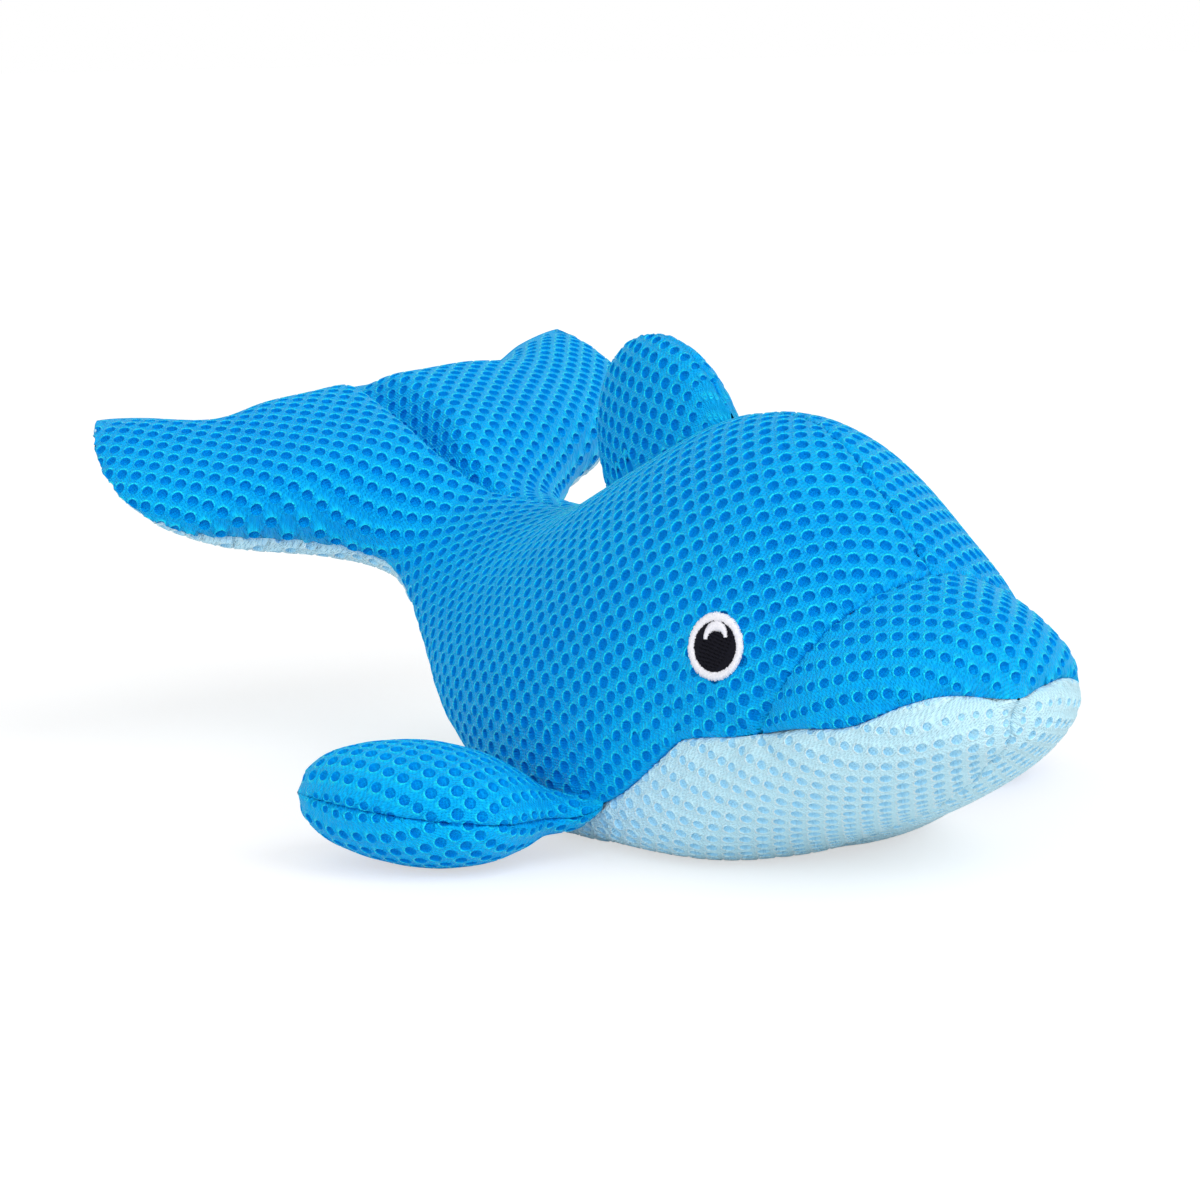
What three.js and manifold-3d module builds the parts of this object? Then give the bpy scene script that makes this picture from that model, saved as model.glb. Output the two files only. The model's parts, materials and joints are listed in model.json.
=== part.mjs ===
// Stuffed dolphin dog toy: panels of thick perforated mesh fabric sewn over a soft filling.
// Frame: +X towards the nose, +Y the dolphin's left side, +Z up, resting on its belly at Z = 0.
// Units are millimetres, angles are degrees.

import * as THREE from 'three';
import { mergeVertices } from 'three/addons/utils/BufferGeometryUtils.js';
import Module from 'manifold-3d';

const wasm = await Module();
wasm.setup();

// Body
const BODY_LENGTH = 223; // nose to the narrow end of the tail stock
const BODY_WIDTH = 120;
const BODY_HEIGHT = 113;
const BELLY_FLAT = 0.5; // depth that the resting face cuts off the round belly
const CREASE_STATION = 3.9; // forehead seam at the top, in stations from the nose
const CREASE_SWEEP = 0.85; // stations that the forehead seam runs back to the mouth corner

// Tail and flukes
const TAIL_LENGTH = 76; // tail stock to the notch between the flukes
const TAIL_RISE = 34; // slope of the flukes
const FLUKE_SPAN = 187;
const FLUKE_THICKNESS = 30;
const FLUKE_SWEEP = 17.4; // how far the tips lie behind the centre line
const TAIL_SWAY = -9.6; // the stuffed tail lies a little to the right
const TAIL_ROLL = 6; // and its left fluke a little higher
const TAIL_HINGE_STATION = 10; // in stations from the nose
const TAIL_HINGE_SIZE = 1.03; // knuckle radius over the half height of the tail stock

// Dorsal fin
const DORSAL_HEIGHT = 37;
const DORSAL_THICKNESS = 21;
const DORSAL_LEAN = -0.075; // forward shift of the fin per unit of height
const DORSAL_FRONT_STATION = 7.29;
const DORSAL_REAR_STATION = 8.93;

// Flippers
const FLIPPER_LENGTH = 69;
const FLIPPER_WIDTH = 48;
const FLIPPER_CURVE = 8; // the tips bend this far back
const FLIPPER_THICKNESS = 32;
const FLIPPER_STATION = 6.95;
const FLIPPER_SWEEP = 22; // angle that they point back
const FLIPPER_LIFT = 6; // and up
const FLIPPER_NECK_WIDTH = 18;
const FLIPPER_NECK_THICKNESS = 10;
const FLIPPER_STANDOFF = 5.5; // hinge line outside the side seam

// Embroidered eyes
const EYE_STATION = 5.46;
const EYE_ANGLE = 66.5;
const EYE_WIDTH = 17.4;
const EYE_HEIGHT = 16.8;
const PUPIL_WIDTH = 13.4;
const PUPIL_HEIGHT = 12.4;
const EYE_THICKNESS = 0.9;
const GLINT_RADIUS = 4.2; // middle of the crescent, from the centre of the eye
const GLINT_WIDTH = 2.2;
const GLINT_START = 38;
const GLINT_END = 158;

// Squeaker
const BLADDER_DIAMETER = 42;
const BLADDER_HEIGHT = 24;
const REED_DIAMETER = 12;
const REED_LENGTH = 14;
const REED_BORE = 6;
const SQUEAKER_STATION = 7.2;
const BLADDER_WALL = 1.2;

// Fabric and clearances
const CLOTH = 3; // thickness of the mesh fabric
const SEAM_GAP = 0.3; // between sewn pieces
const FILL_GAP = 1.7; // between the fabric and the filling
const SOCKET_GAP = 0.6; // round the roots of the fins and flippers

// Sections of the body: distance from the nose over BODY_LENGTH, height of the widest line over
// BODY_HEIGHT, slope, half width over half BODY_WIDTH, height above and below the widest line over
// BODY_HEIGHT, the angle from the top down to the side seam, and the roundness of the lower half, where
// less than 1 is fuller than an ellipse.
const BODY_ROWS = [
  [0.000, 0.469, 0, 0.000, 0.000, 0.000, 76, 1.00],
  [0.011, 0.457, 0, 0.288, 0.096, 0.092, 68, 1.00],
  [0.040, 0.443, 0, 0.495, 0.185, 0.133, 79, 1.00],
  [0.087, 0.411, 0, 0.636, 0.264, 0.182, 88, 1.00],
  [0.148, 0.382, 0, 0.742, 0.344, 0.226, 86, 1.00],
  [0.224, 0.348, 0, 0.815, 0.506, 0.263, 88, 0.90],
  [0.336, 0.321, 0, 0.910, 0.673, 0.322, 92, 0.62],
  [0.471, 0.289, 0, 0.993, 0.712, 0.308, 113, 0.54],
  [0.623, 0.258, 0, 1.010, 0.612, 0.283, 127, 0.61],
  [0.780, 0.292, 4, 0.900, 0.442, 0.235, 125, 0.85],
  [0.901, 0.381, 14, 0.727, 0.318, 0.177, 116, 1.00],
  [1.000, 0.482, 25, 0.586, 0.230, 0.150, 107, 1.00],
];

// Sections of the flukes: distance behind the tail stock over TAIL_LENGTH, half width over half
// FLUKE_SPAN, height above and below the fold over FLUKE_THICKNESS, seam angle, sweep over
// FLUKE_SWEEP, and depth of the valley between the two lobes.
const FLUKE_ROWS = [
  [0.18, 0.355, 0.72, 0.48, 103, 0.00, 0.10],
  [0.34, 0.500, 0.74, 0.46, 101, 0.03, 0.30],
  [0.52, 0.840, 0.80, 0.46, 99, 0.06, 0.50],
  [0.72, 0.980, 0.68, 0.42, 98, 0.13, 0.62],
  [0.90, 0.958, 0.44, 0.32, 95, 0.59, 0.66],
  [1.00, 0.890, 0.02, 0.02, 91, 0.76, 0.66],
];

// Reach of the trailing edge behind the notch from the centre line to the tip, over FLUKE_SWEEP.
const TRAILING_EDGE = [0.53, 0.47, 0.47, 0.34, 0.75, 0.98];

// Sections of a flipper: distance from the hinge over FLIPPER_LENGTH, width over FLIPPER_WIDTH and
// thickness over FLIPPER_THICKNESS.
const FLIPPER_ROWS = [
  [0.08, 0.46, 0.38],
  [0.19, 0.74, 0.64],
  [0.33, 0.96, 0.88],
  [0.52, 1.00, 1.00],
  [0.72, 0.86, 0.92],
  [0.88, 0.60, 0.70],
  [0.97, 0.31, 0.38],
  [1.00, 0.03, 0.03],
];

// Shares that shape the surfaces
const MIDDLE = 0.623; // the frame's middle over BODY_LENGTH, from the nose
const LOBE_WIDTH = 0.065; // half width of the valley between the flukes, over the half span
const CROWN_ROUND = 1.12; // over 1 makes the upper half of each section slimmer than an ellipse
const EDGE_INSET = 1.8; // thin edges are drawn in this much more than broad faces
const LEAST_INSIDE = 0.25; // share of a size that is left where the inset is too deep for it
const END_STATIONS = 3; // stations over which the ends of the body are drawn in
const NOSE_START = 0.06; // station where the panels meet at the nose
const NOSE_SPACING = 1.7; // over 1 sets the rings closer towards the nose
const HINGE_AHEAD = 1.9; // stations that the tail's pieces reach ahead of their hinge
const HINGE_BEHIND = 1.4; // stations that the body's pieces reach behind it before they are cut
const WARP_DELAY = 0.5; // stations behind the hinge where the sway and roll begin
const WARP_STATIONS = 3.5; // and over which they come in
const SPREAD_STATIONS = 2; // stations behind the stock where the flukes begin to spread
const FLIPPER_ROOT = 0.2; // share of a flipper's rings on the round end of its neck
const FLIPPER_SPAN = [0.03, 1]; // part of the flipper's length that is covered
const DORSAL_SPAN = [0.02, 0.98]; // part of the dorsal fin's length that is covered
const BLADDER_LEVELS = [0.15, 0.5, 0.85]; // heights of the bladder's rings
const BLADDER_ENDS = 0.62; // radius of the bladder's flat ends over its largest
const BLADDER_FLOOR = 0.5; // radius of the flat inside over the largest
const GLINT_ENDS = 0.35; // width of the crescent's ends over its middle
const EYE_CENTRE = 0.5; // inner ring of an eye's disc over its edge
const WIDEST_GAP = 0.35; // radians, most that a seam takes off a panel
const STEP = 0.02; // in stations or radians, for the slope of a surface

// Facets: panels that share a seam share its steps
const UPPER_COLUMNS = 7;
const LOWER_COLUMNS = 6;
const BEAK_STEPS = 6;
const BODY_STEPS = 12;
const TAIL_STEPS = 12;
const BELLY_STEPS = BEAK_STEPS + BODY_STEPS;
const TAIL_EXTRA = 2; // columns that the flukes have over the body
const DORSAL_FACETS = [8, 7];
const FLIPPER_FACETS = [6, 10];
const BODY_FILL_FACETS = [16, 20];
const TAIL_FILL_FACETS = [TAIL_STEPS + 1, 20];
const DORSAL_FILL_FACETS = [7, 12];
const FLIPPER_FILL_FACETS = [10, 10];
const KNUCKLE_FACETS = 36;
const SOCKET_FACETS = [16, 12];
const SQUEAKER_FACETS = 16;
const EYE_FACETS = 16;
const GLINT_FACETS = 7;

const radians = THREE.MathUtils.degToRad;
const between = (a, b, t) => a + (b - a) * t;
const smooth = (value) => THREE.MathUtils.smoothstep(value, 0, 1);
const signedPower = (value, power) => Math.sign(value) * Math.abs(value) ** power;
const drawnIn = (size, inset) => Math.max(size - inset, size * LEAST_INSIDE);

// Catmull-Rom curve through one column of a table.
function along(rows, column, u) {
  const last = rows.length - 1;
  const index = Math.min(Math.max(Math.floor(u), 0), last - 1);
  const t = u - index;
  const at = (k) => rows[Math.min(Math.max(k, 0), last)][column];
  const [a, b, c, d] = [at(index - 1), at(index), at(index + 1), at(index + 2)];
  const start = (c - a) / 2;
  const end = (d - b) / 2;
  const cubic = 2 * b - 2 * c + start + end;
  const square = 3 * c - 3 * b - 2 * start - end;
  return cubic * t ** 3 + square * t ** 2 + start * t + b;
}

const rowAt = (rows, u) => rows[0].map((_, column) => along(rows, column, u));

// Body, tail and flukes: one row of x, z, slope, half width, up, down, seam, sweep, valley and
// roundness for each station.
const bodyStations = BODY_ROWS.map(([reach, lift, slope, width, up, down, seam, round]) => [
  BODY_LENGTH * (MIDDLE - reach), BODY_HEIGHT * lift, slope, BODY_WIDTH / 2 * width,
  BODY_HEIGHT * up, BODY_HEIGHT * down, seam, 0, 0, round,
]);
const stockStation = bodyStations.length - 1;
const [stockX, stockZ] = bodyStations[stockStation];
const flukeStations = FLUKE_ROWS.map(([reach, width, up, down, seam, sweep, valley]) => [
  stockX - TAIL_LENGTH * reach * Math.cos(radians(TAIL_RISE)),
  stockZ + TAIL_LENGTH * reach * Math.sin(radians(TAIL_RISE)),
  TAIL_RISE, FLUKE_SPAN / 2 * width, FLUKE_THICKNESS * up, FLUKE_THICKNESS * down, seam,
  FLUKE_SWEEP * sweep, valley, 1,
]);
const STATIONS = [...bodyStations, ...flukeStations];
const TAIL_END = STATIONS.length - 1;
const EDGE_ROWS = TRAILING_EDGE.map((reach) => [FLUKE_SWEEP * reach]);

const seamAngle = (u) => radians(along(STATIONS, 6, u));

// Outer surface of the body, tail and flukes. u counts stations from the nose, angle runs from the top
// centre seam (0) to the belly seam (pi), side is -1 right or +1 left, and inset moves the point
// inwards by about that distance.
function bodySkin(u, angle, side, inset = 0) {
  const [x, z, slope, width, up, down, , sweep, valley, round] = rowAt(STATIONS, u);
  const fluke = smooth((u - stockStation) / SPREAD_STATIONS);
  const low = Math.cos(angle) < 0;
  const power = low ? round : CROWN_ROUND;
  const spread = signedPower(Math.sin(angle), power);
  const rise = signedPower(Math.cos(angle), power);
  const dip = 1 - valley * Math.exp(-((spread / LOBE_WIDTH) ** 2));
  const height = rise * drawnIn(low ? down : up, inset) * dip;
  const spreadStart = stockStation + SPREAD_STATIONS;
  const trail = smooth((u - spreadStart) / (TAIL_END - spreadStart)) ** 2;
  const edge = along(EDGE_ROWS, 0, Math.abs(spread) * (EDGE_ROWS.length - 1));
  const noseEnd = Math.max(1 - u / END_STATIONS, 0) ** 2;
  const tailEnd = Math.max(1 - (TAIL_END - u) / END_STATIONS, 0) ** 2;
  const back = between(sweep * spread ** 2, edge, trail) - inset * EDGE_INSET * tailEnd;
  const tilt = radians(slope);
  const point = new THREE.Vector3(
    x - inset * noseEnd - back * Math.cos(tilt) + height * Math.sin(tilt),
    side * spread * drawnIn(width, inset * between(1, EDGE_INSET, fluke)),
    z + back * Math.sin(tilt) + height * Math.cos(tilt),
  );
  point.z = Math.max(point.z, inset + BELLY_FLAT);
  return swayed(point, u, z);
}

// Turns and shifts the tail behind its hinge, as its stuffing has set.
function swayed(point, u, z) {
  const start = TAIL_HINGE_STATION + WARP_DELAY;
  const share = smooth((u - start) / WARP_STATIONS);
  const roll = radians(TAIL_ROLL) * share;
  const rise = point.z - z;
  const y = point.y * Math.cos(roll) - rise * Math.sin(roll) + TAIL_SWAY * share;
  return new THREE.Vector3(point.x, y, z + point.y * Math.sin(roll) + rise * Math.cos(roll));
}

// Dorsal fin: a stuffed lobe whose round root turns in a socket along the back seam. t runs from the
// front of the fin to its rear.
const dorsalFront = bodySkin(DORSAL_FRONT_STATION, 0, 1);
const dorsalRear = bodySkin(DORSAL_REAR_STATION, 0, 1);
const dorsalMiddle = dorsalFront.clone().add(dorsalRear).divideScalar(2);
const dorsalAxis = dorsalFront.clone().sub(dorsalRear).normalize();
const dorsalUp = new THREE.Vector3(-dorsalAxis.z, 0, dorsalAxis.x);
const dorsalHalf = dorsalFront.distanceTo(dorsalRear) / 2;

function dorsalSkin(t, angle, side, inset = 0) {
  const round = Math.sin(Math.PI * t);
  const thick = DORSAL_THICKNESS / 2 - inset;
  const reach = Math.cos(angle) > 0 ? DORSAL_HEIGHT - inset : thick;
  const rise = reach * Math.cos(angle) * round;
  const shift = (dorsalHalf - inset) * Math.cos(Math.PI * t) + DORSAL_LEAN * Math.max(rise, 0);
  return dorsalMiddle.clone()
    .addScaledVector(dorsalAxis, shift)
    .addScaledVector(dorsalUp, rise)
    .setY(side * thick * round * Math.sin(angle));
}

// Flippers: flat stuffed lobes on a narrow neck, whose round root turns in a socket on the side seam.
// t runs from the root to the tip, angle from the front edge over the top and round underneath.
const FLIPPER_STATIONS = [
  [0, FLIPPER_NECK_WIDTH / 2, FLIPPER_NECK_THICKNESS / 2],
  ...FLIPPER_ROWS.map(([reach, width, thick]) => [
    FLIPPER_LENGTH * reach, FLIPPER_WIDTH / 2 * width, FLIPPER_THICKNESS / 2 * thick,
  ]),
];

function flipperFrame(side) {
  const sweep = radians(FLIPPER_SWEEP);
  const lift = radians(FLIPPER_LIFT);
  const chord = new THREE.Vector3(Math.cos(sweep), side * Math.sin(sweep), 0);
  const level = new THREE.Vector3(-Math.sin(sweep), side * Math.cos(sweep), 0);
  const out = level.multiplyScalar(Math.cos(lift)).setZ(Math.sin(lift));
  const up = new THREE.Vector3().crossVectors(chord, out).multiplyScalar(side);
  const hinge = bodySkin(FLIPPER_STATION, seamAngle(FLIPPER_STATION), side);
  hinge.addScaledVector(out, FLIPPER_STANDOFF);
  return { chord, out, up, hinge };
}

function flipperSkin(t, angle, side, inset = 0) {
  const { chord, out, up, hinge } = flipperFrame(side);
  const share = Math.max((t - FLIPPER_ROOT) / (1 - FLIPPER_ROOT), 0);
  const turn = Math.PI / 2 * Math.min(t / FLIPPER_ROOT, 1);
  const [reach, width, thick] = rowAt(FLIPPER_STATIONS, share * (FLIPPER_STATIONS.length - 1));
  const tipEnd = Math.max(2 * share - 1, 0) ** 2;
  const root = drawnIn(FLIPPER_NECK_THICKNESS / 2, inset) * Math.cos(turn);
  const bend = FLIPPER_CURVE * (reach / FLIPPER_LENGTH) ** 2;
  const forward = drawnIn(width, inset * EDGE_INSET) * Math.sin(turn) * Math.cos(angle) - bend;
  return hinge.clone()
    .addScaledVector(out, reach - root - inset * EDGE_INSET * tipEnd)
    .addScaledVector(chord, forward)
    .addScaledVector(up, drawnIn(thick, inset) * Math.sin(turn) * Math.sin(angle));
}

// Solids

function toSolid(geometry) {
  geometry.deleteAttribute('normal');
  geometry.deleteAttribute('uv');
  const merged = mergeVertices(geometry, 1e-4);
  return new wasm.Manifold(new wasm.Mesh({
    numProp: 3,
    vertProperties: Float32Array.from(merged.attributes.position.array),
    triVerts: Uint32Array.from(merged.index.array),
  }));
}

function toGeometry(solid) {
  const mesh = solid.getMesh();
  const geometry = new THREE.BufferGeometry();
  const position = new THREE.BufferAttribute(Float32Array.from(mesh.vertProperties), 3);
  geometry.setAttribute('position', position);
  geometry.setIndex(new THREE.BufferAttribute(Uint32Array.from(mesh.triVerts), 1));
  geometry.computeVertexNormals();
  return geometry;
}

// Solid of a list of points and triangles, turned so that its faces point outwards.
function closedSolid(points, triangles) {
  const corner = (k) => points[triangles[k]].clone();
  let volume = 0;
  for (let k = 0; k < triangles.length; k += 3) {
    volume += corner(k).dot(corner(k + 1).cross(corner(k + 2)));
  }
  const geometry = new THREE.BufferGeometry().setFromPoints(points);
  geometry.setIndex(volume < 0 ? triangles.toReversed() : triangles);
  return toSolid(geometry);
}

// Solid between an outer and an inner grid of points, joined along their four borders. Each grid is a
// function of two shares from 0 to 1.
function shell(columns, rows, outer, inner) {
  const points = [];
  const triangles = [];
  const stride = columns + 1;
  const layer = stride * (rows + 1);
  for (const grid of [outer, inner]) {
    for (let j = 0; j <= rows; j += 1) {
      for (let i = 0; i <= columns; i += 1) points.push(grid(i / columns, j / rows));
    }
  }
  const quad = (a, b, c, d) => triangles.push(a, b, c, a, c, d);
  const wall = (a, b) => quad(a, layer + a, layer + b, b);
  for (let j = 0; j < rows; j += 1) {
    for (let i = 0; i < columns; i += 1) {
      const k = j * stride + i;
      quad(k, k + 1, k + stride + 1, k + stride);
      quad(layer + k, layer + k + stride, layer + k + stride + 1, layer + k + 1);
    }
  }
  for (let i = 0; i < columns; i += 1) {
    wall(i, i + 1);
    wall(rows * stride + i + 1, rows * stride + i);
  }
  for (let j = 0; j < rows; j += 1) {
    wall((j + 1) * stride, j * stride);
    wall(j * stride + columns, (j + 1) * stride + columns);
  }
  return closedSolid(points, triangles);
}

// Solid of rings of points from one end to the other, closed by a fan at each end.
function pod(rings, sides, ringPoint) {
  const points = [];
  const triangles = [];
  for (let j = 0; j < rings; j += 1) {
    for (let i = 0; i < sides; i += 1) points.push(ringPoint(j / (rings - 1), i / sides));
  }
  const endMiddle = (first) => {
    const middle = new THREE.Vector3();
    for (let i = 0; i < sides; i += 1) middle.add(points[first + i]);
    return points.push(middle.divideScalar(sides)) - 1;
  };
  const far = (rings - 1) * sides;
  const start = endMiddle(0);
  const end = endMiddle(far);
  for (let i = 0; i < sides; i += 1) {
    const next = (i + 1) % sides;
    triangles.push(start, next, i, end, far + i, far + next);
    for (let k = 0; k < far; k += sides) {
      triangles.push(k + i, k + next, k + sides + next, k + i, k + sides + next, k + sides + i);
    }
  }
  return closedSolid(points, triangles);
}

function placed(geometry, position, turn = new THREE.Quaternion(), scale = new THREE.Vector3(1, 1, 1)) {
  return toSolid(geometry.applyMatrix4(new THREE.Matrix4().compose(position, turn, scale)));
}

// Fabric and filling

// Angle that is half a seam gap on the inside of a form's fabric.
function gapAngle(form, u, angle, side) {
  const inside = (turn) => form(u, turn, side, CLOTH);
  const speed = inside(angle + STEP).distanceTo(inside(angle - STEP)) / (2 * STEP);
  return Math.min(SEAM_GAP / 2 / speed, WIDEST_GAP);
}

// Angle at a share of the way between two seams, half a gap clear of each.
function seamed(form, u, side, first, second, share) {
  const from = first + gapAngle(form, u, first, side);
  const to = second - gapAngle(form, u, second, side);
  return between(from, to, share);
}

const upperAngle = (u, side, share) => seamed(bodySkin, u, side, 0, seamAngle(u), share);
const lowerAngle = (u, side, share) => seamed(bodySkin, u, side, seamAngle(u), Math.PI, share);

// Fabric panel of a form: place gives the station, angle and side at two shares of its spread.
function panel(form, columns, rows, place) {
  const layer = (inset) => (across, length) => form(...place(across, length), inset);
  return shell(columns, rows, layer(0), layer(CLOTH));
}

// Filling of a form between two stations.
function filling(form, [rings, sides], from, to, { spacing = 1, fullTurn = false } = {}) {
  const inset = CLOTH + FILL_GAP;
  return pod(rings, sides, (length, turn) => {
    const u = between(from, to, length ** spacing);
    if (fullTurn) return form(u, turn * 2 * Math.PI, inset);
    const side = turn < 0.5 ? -1 : 1;
    const angle = 2 * Math.PI * (turn < 0.5 ? turn : 1 - turn);
    return form(u, angle, side, inset);
  });
}

// Sockets and the knuckle of the tail

const [hingeX, hingeZ, hingeSlope, , hingeUp, hingeDown] = rowAt(STATIONS, TAIL_HINGE_STATION);
const hingeTilt = radians(hingeSlope);
const hingeRise = (hingeUp - hingeDown) / 2;
const tailHinge = new THREE.Vector3(hingeX + hingeRise * Math.sin(hingeTilt), 0,
  hingeZ + hingeRise * Math.cos(hingeTilt));
const tailHingeRadius = TAIL_HINGE_SIZE * (hingeUp + hingeDown) / 2;

// Everything behind the hinge and the round knuckle across it, grown by a gap.
function tailSpace(gap) {
  const size = BODY_LENGTH + FLUKE_SPAN;
  const radius = tailHingeRadius + gap;
  const turn = new THREE.Quaternion().setFromAxisAngle(new THREE.Vector3(0, 1, 0), hingeTilt);
  const middle = new THREE.Vector3(gap - size / 2, 0, 0).applyQuaternion(turn).add(tailHinge);
  const block = placed(new THREE.BoxGeometry(size, size, size), middle, turn);
  return block.add(placed(new THREE.CylinderGeometry(radius, radius, size, KNUCKLE_FACETS), tailHinge));
}

// Spheroid socket round an axis.
function socket(middle, axis, halfLength, radius) {
  const turn = new THREE.Quaternion().setFromUnitVectors(new THREE.Vector3(1, 0, 0), axis);
  const ball = new THREE.SphereGeometry(1, ...SOCKET_FACETS).rotateZ(Math.PI / 2);
  const wide = radius + SOCKET_GAP;
  return placed(ball, middle, turn, new THREE.Vector3(halfLength + SOCKET_GAP, wide, wide));
}

const dorsalSocket = socket(dorsalMiddle, dorsalAxis, dorsalHalf, DORSAL_THICKNESS / 2);
const [rightSocket, leftSocket] = [-1, 1].map((side) => {
  const { hinge, chord } = flipperFrame(side);
  return socket(hinge, chord, FLIPPER_NECK_WIDTH / 2, FLIPPER_NECK_THICKNESS / 2);
});
const bodyCuts = [dorsalSocket, rightSocket, leftSocket, tailSpace(SEAM_GAP)];
const cutBody = (solid) => bodyCuts.reduce((rest, cut) => rest.subtract(cut), solid);
const tailOnly = tailSpace(0);

// Materials

const fabric = (color) => new THREE.MeshStandardMaterial({ color, roughness: 0.85, metalness: 0 });
const blueMesh = fabric(0x2e9fe6);
const paleMesh = fabric(0xcfe8fa);
const whiteThread = fabric(0xf0eef6);
const blackThread = fabric(0x20202c);
const fibre = fabric(0xf4f4f0);
const plastic = new THREE.MeshStandardMaterial({ color: 0xe9e6dc, roughness: 0.5, metalness: 0 });

const toy = new THREE.Group();

function add(name, solid, material) {
  const mesh = new THREE.Mesh(toGeometry(solid), material);
  mesh.name = name;
  toy.add(mesh);
}

const SIDES = [[-1, 'right'], [1, 'left']];

// Body

const creaseStation = (share) => CREASE_STATION + CREASE_SWEEP * share ** 2;
const creaseTop = bodySkin(CREASE_STATION, 0, 1);
const creaseGap = SEAM_GAP / 2 / creaseTop.distanceTo(bodySkin(CREASE_STATION - 1, 0, 1));
const mouthCorner = creaseStation(1);
const bodyRear = TAIL_HINGE_STATION + HINGE_BEHIND;

// Station of a step along the belly, in line with the steps of the beak and then of the body panels.
function bellyStation(step) {
  if (step < BEAK_STEPS) return between(NOSE_START, mouthCorner, (step / BEAK_STEPS) ** NOSE_SPACING);
  return between(mouthCorner, bodyRear, (step - BEAK_STEPS) / BODY_STEPS);
}

add('beak_panel', panel(bodySkin, 2 * UPPER_COLUMNS, BEAK_STEPS, (across, length) => {
  const share = Math.abs(2 * across - 1);
  const side = across < 0.5 ? -1 : 1;
  const u = between(NOSE_START, creaseStation(share) - creaseGap, length ** NOSE_SPACING);
  return [u, share * (seamAngle(u) - gapAngle(bodySkin, u, seamAngle(u), side)), side];
}), blueMesh);

for (const [side, label] of SIDES) {
  add(`body_panel_${label}`, cutBody(panel(bodySkin, UPPER_COLUMNS, BODY_STEPS, (across, length) => {
    const u = between(creaseStation(across) + creaseGap, bodyRear, length);
    return [u, upperAngle(u, side, across), side];
  })), blueMesh);
  add(`belly_panel_${label}`, cutBody(panel(bodySkin, LOWER_COLUMNS, BELLY_STEPS, (across, length) => {
    const u = bellyStation(length * BELLY_STEPS);
    return [u, lowerAngle(u, side, across), side];
  })), paleMesh);
}

// Squeaker, lying on the inside of the belly in a pocket of the filling

const squeakerBase = new THREE.Vector3(
  along(STATIONS, 0, SQUEAKER_STATION), 0, BELLY_FLAT + CLOTH + SEAM_GAP);
const upright = new THREE.Quaternion().setFromAxisAngle(new THREE.Vector3(1, 0, 0), Math.PI / 2);

function turned(profile) {
  const points = profile.map(([radius, height]) => new THREE.Vector2(radius, height));
  return placed(new THREE.LatheGeometry(points, SQUEAKER_FACETS), squeakerBase, upright);
}

const bladderRadius = BLADDER_DIAMETER / 2;
const neckRadius = REED_DIAMETER / 2 + SEAM_GAP;
const bladderBelly = BLADDER_LEVELS.map((share) => [
  bladderRadius * between(BLADDER_ENDS, 1, Math.sin(Math.PI * share)), BLADDER_HEIGHT * share,
]);
const bladderInside = bladderBelly.map(([radius, height]) => [radius - BLADDER_WALL, height]).reverse();
add('squeaker_bladder', turned([
  [0, 0], [bladderRadius * BLADDER_ENDS, 0], ...bladderBelly,
  [neckRadius + BLADDER_WALL, BLADDER_HEIGHT], [neckRadius, BLADDER_HEIGHT],
  [neckRadius, BLADDER_HEIGHT - 2 * BLADDER_WALL], ...bladderInside,
  [bladderRadius * BLADDER_FLOOR, BLADDER_WALL], [0, BLADDER_WALL],
]), plastic);

const flange = BLADDER_HEIGHT + SEAM_GAP;
add('squeaker_reed', turned([
  [REED_BORE / 2, flange - REED_LENGTH / 2], [REED_DIAMETER / 2, flange - REED_LENGTH / 2],
  [REED_DIAMETER / 2, flange], [neckRadius + BLADDER_WALL, flange],
  [neckRadius + BLADDER_WALL, flange + BLADDER_WALL], [REED_DIAMETER / 2, flange + BLADDER_WALL],
  [REED_DIAMETER / 2, flange + REED_LENGTH / 2], [REED_BORE / 2, flange + REED_LENGTH / 2],
  [REED_BORE / 2, flange - REED_LENGTH / 2],
]), plastic);

const pocketTop = flange + REED_LENGTH / 2 + FILL_GAP;
const pocket = turned([
  [0, -BODY_HEIGHT], [bladderRadius + FILL_GAP, -BODY_HEIGHT],
  [bladderRadius + FILL_GAP, BLADDER_HEIGHT],
  [neckRadius + BLADDER_WALL + FILL_GAP, BLADDER_HEIGHT + FILL_GAP],
  [neckRadius + BLADDER_WALL + FILL_GAP, pocketTop], [0, pocketTop],
]);
const bodyFilling = filling(bodySkin, BODY_FILL_FACETS, NOSE_START, bodyRear, { spacing: NOSE_SPACING });
add('body_filling', cutBody(bodyFilling).subtract(pocket), fibre);

// Tail and flukes

const tailFront = TAIL_HINGE_STATION - HINGE_AHEAD;

for (const [side, label] of SIDES) {
  const tailPanel = (columns, angleAt) => panel(bodySkin, columns, TAIL_STEPS, (across, length) => {
    const u = between(tailFront, TAIL_END, length);
    return [u, angleAt(u, side, across), side];
  }).intersect(tailOnly);
  add(`tail_panel_${label}`, tailPanel(UPPER_COLUMNS + TAIL_EXTRA, upperAngle), blueMesh);
  add(`tail_underside_${label}`, tailPanel(LOWER_COLUMNS + TAIL_EXTRA, lowerAngle), paleMesh);
}
const tailFilling = filling(bodySkin, TAIL_FILL_FACETS, tailFront, TAIL_END);
add('tail_filling', tailFilling.intersect(tailOnly), fibre);

// Fins

for (const [side, label] of SIDES) {
  add(`dorsal_fin_panel_${label}`, panel(dorsalSkin, ...DORSAL_FACETS, (across, length) => {
    const t = between(...DORSAL_SPAN, length);
    return [t, seamed(dorsalSkin, t, side, 0, Math.PI, across), side];
  }), blueMesh);
}
add('dorsal_fin_filling', filling(dorsalSkin, DORSAL_FILL_FACETS, ...DORSAL_SPAN), fibre);

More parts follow.
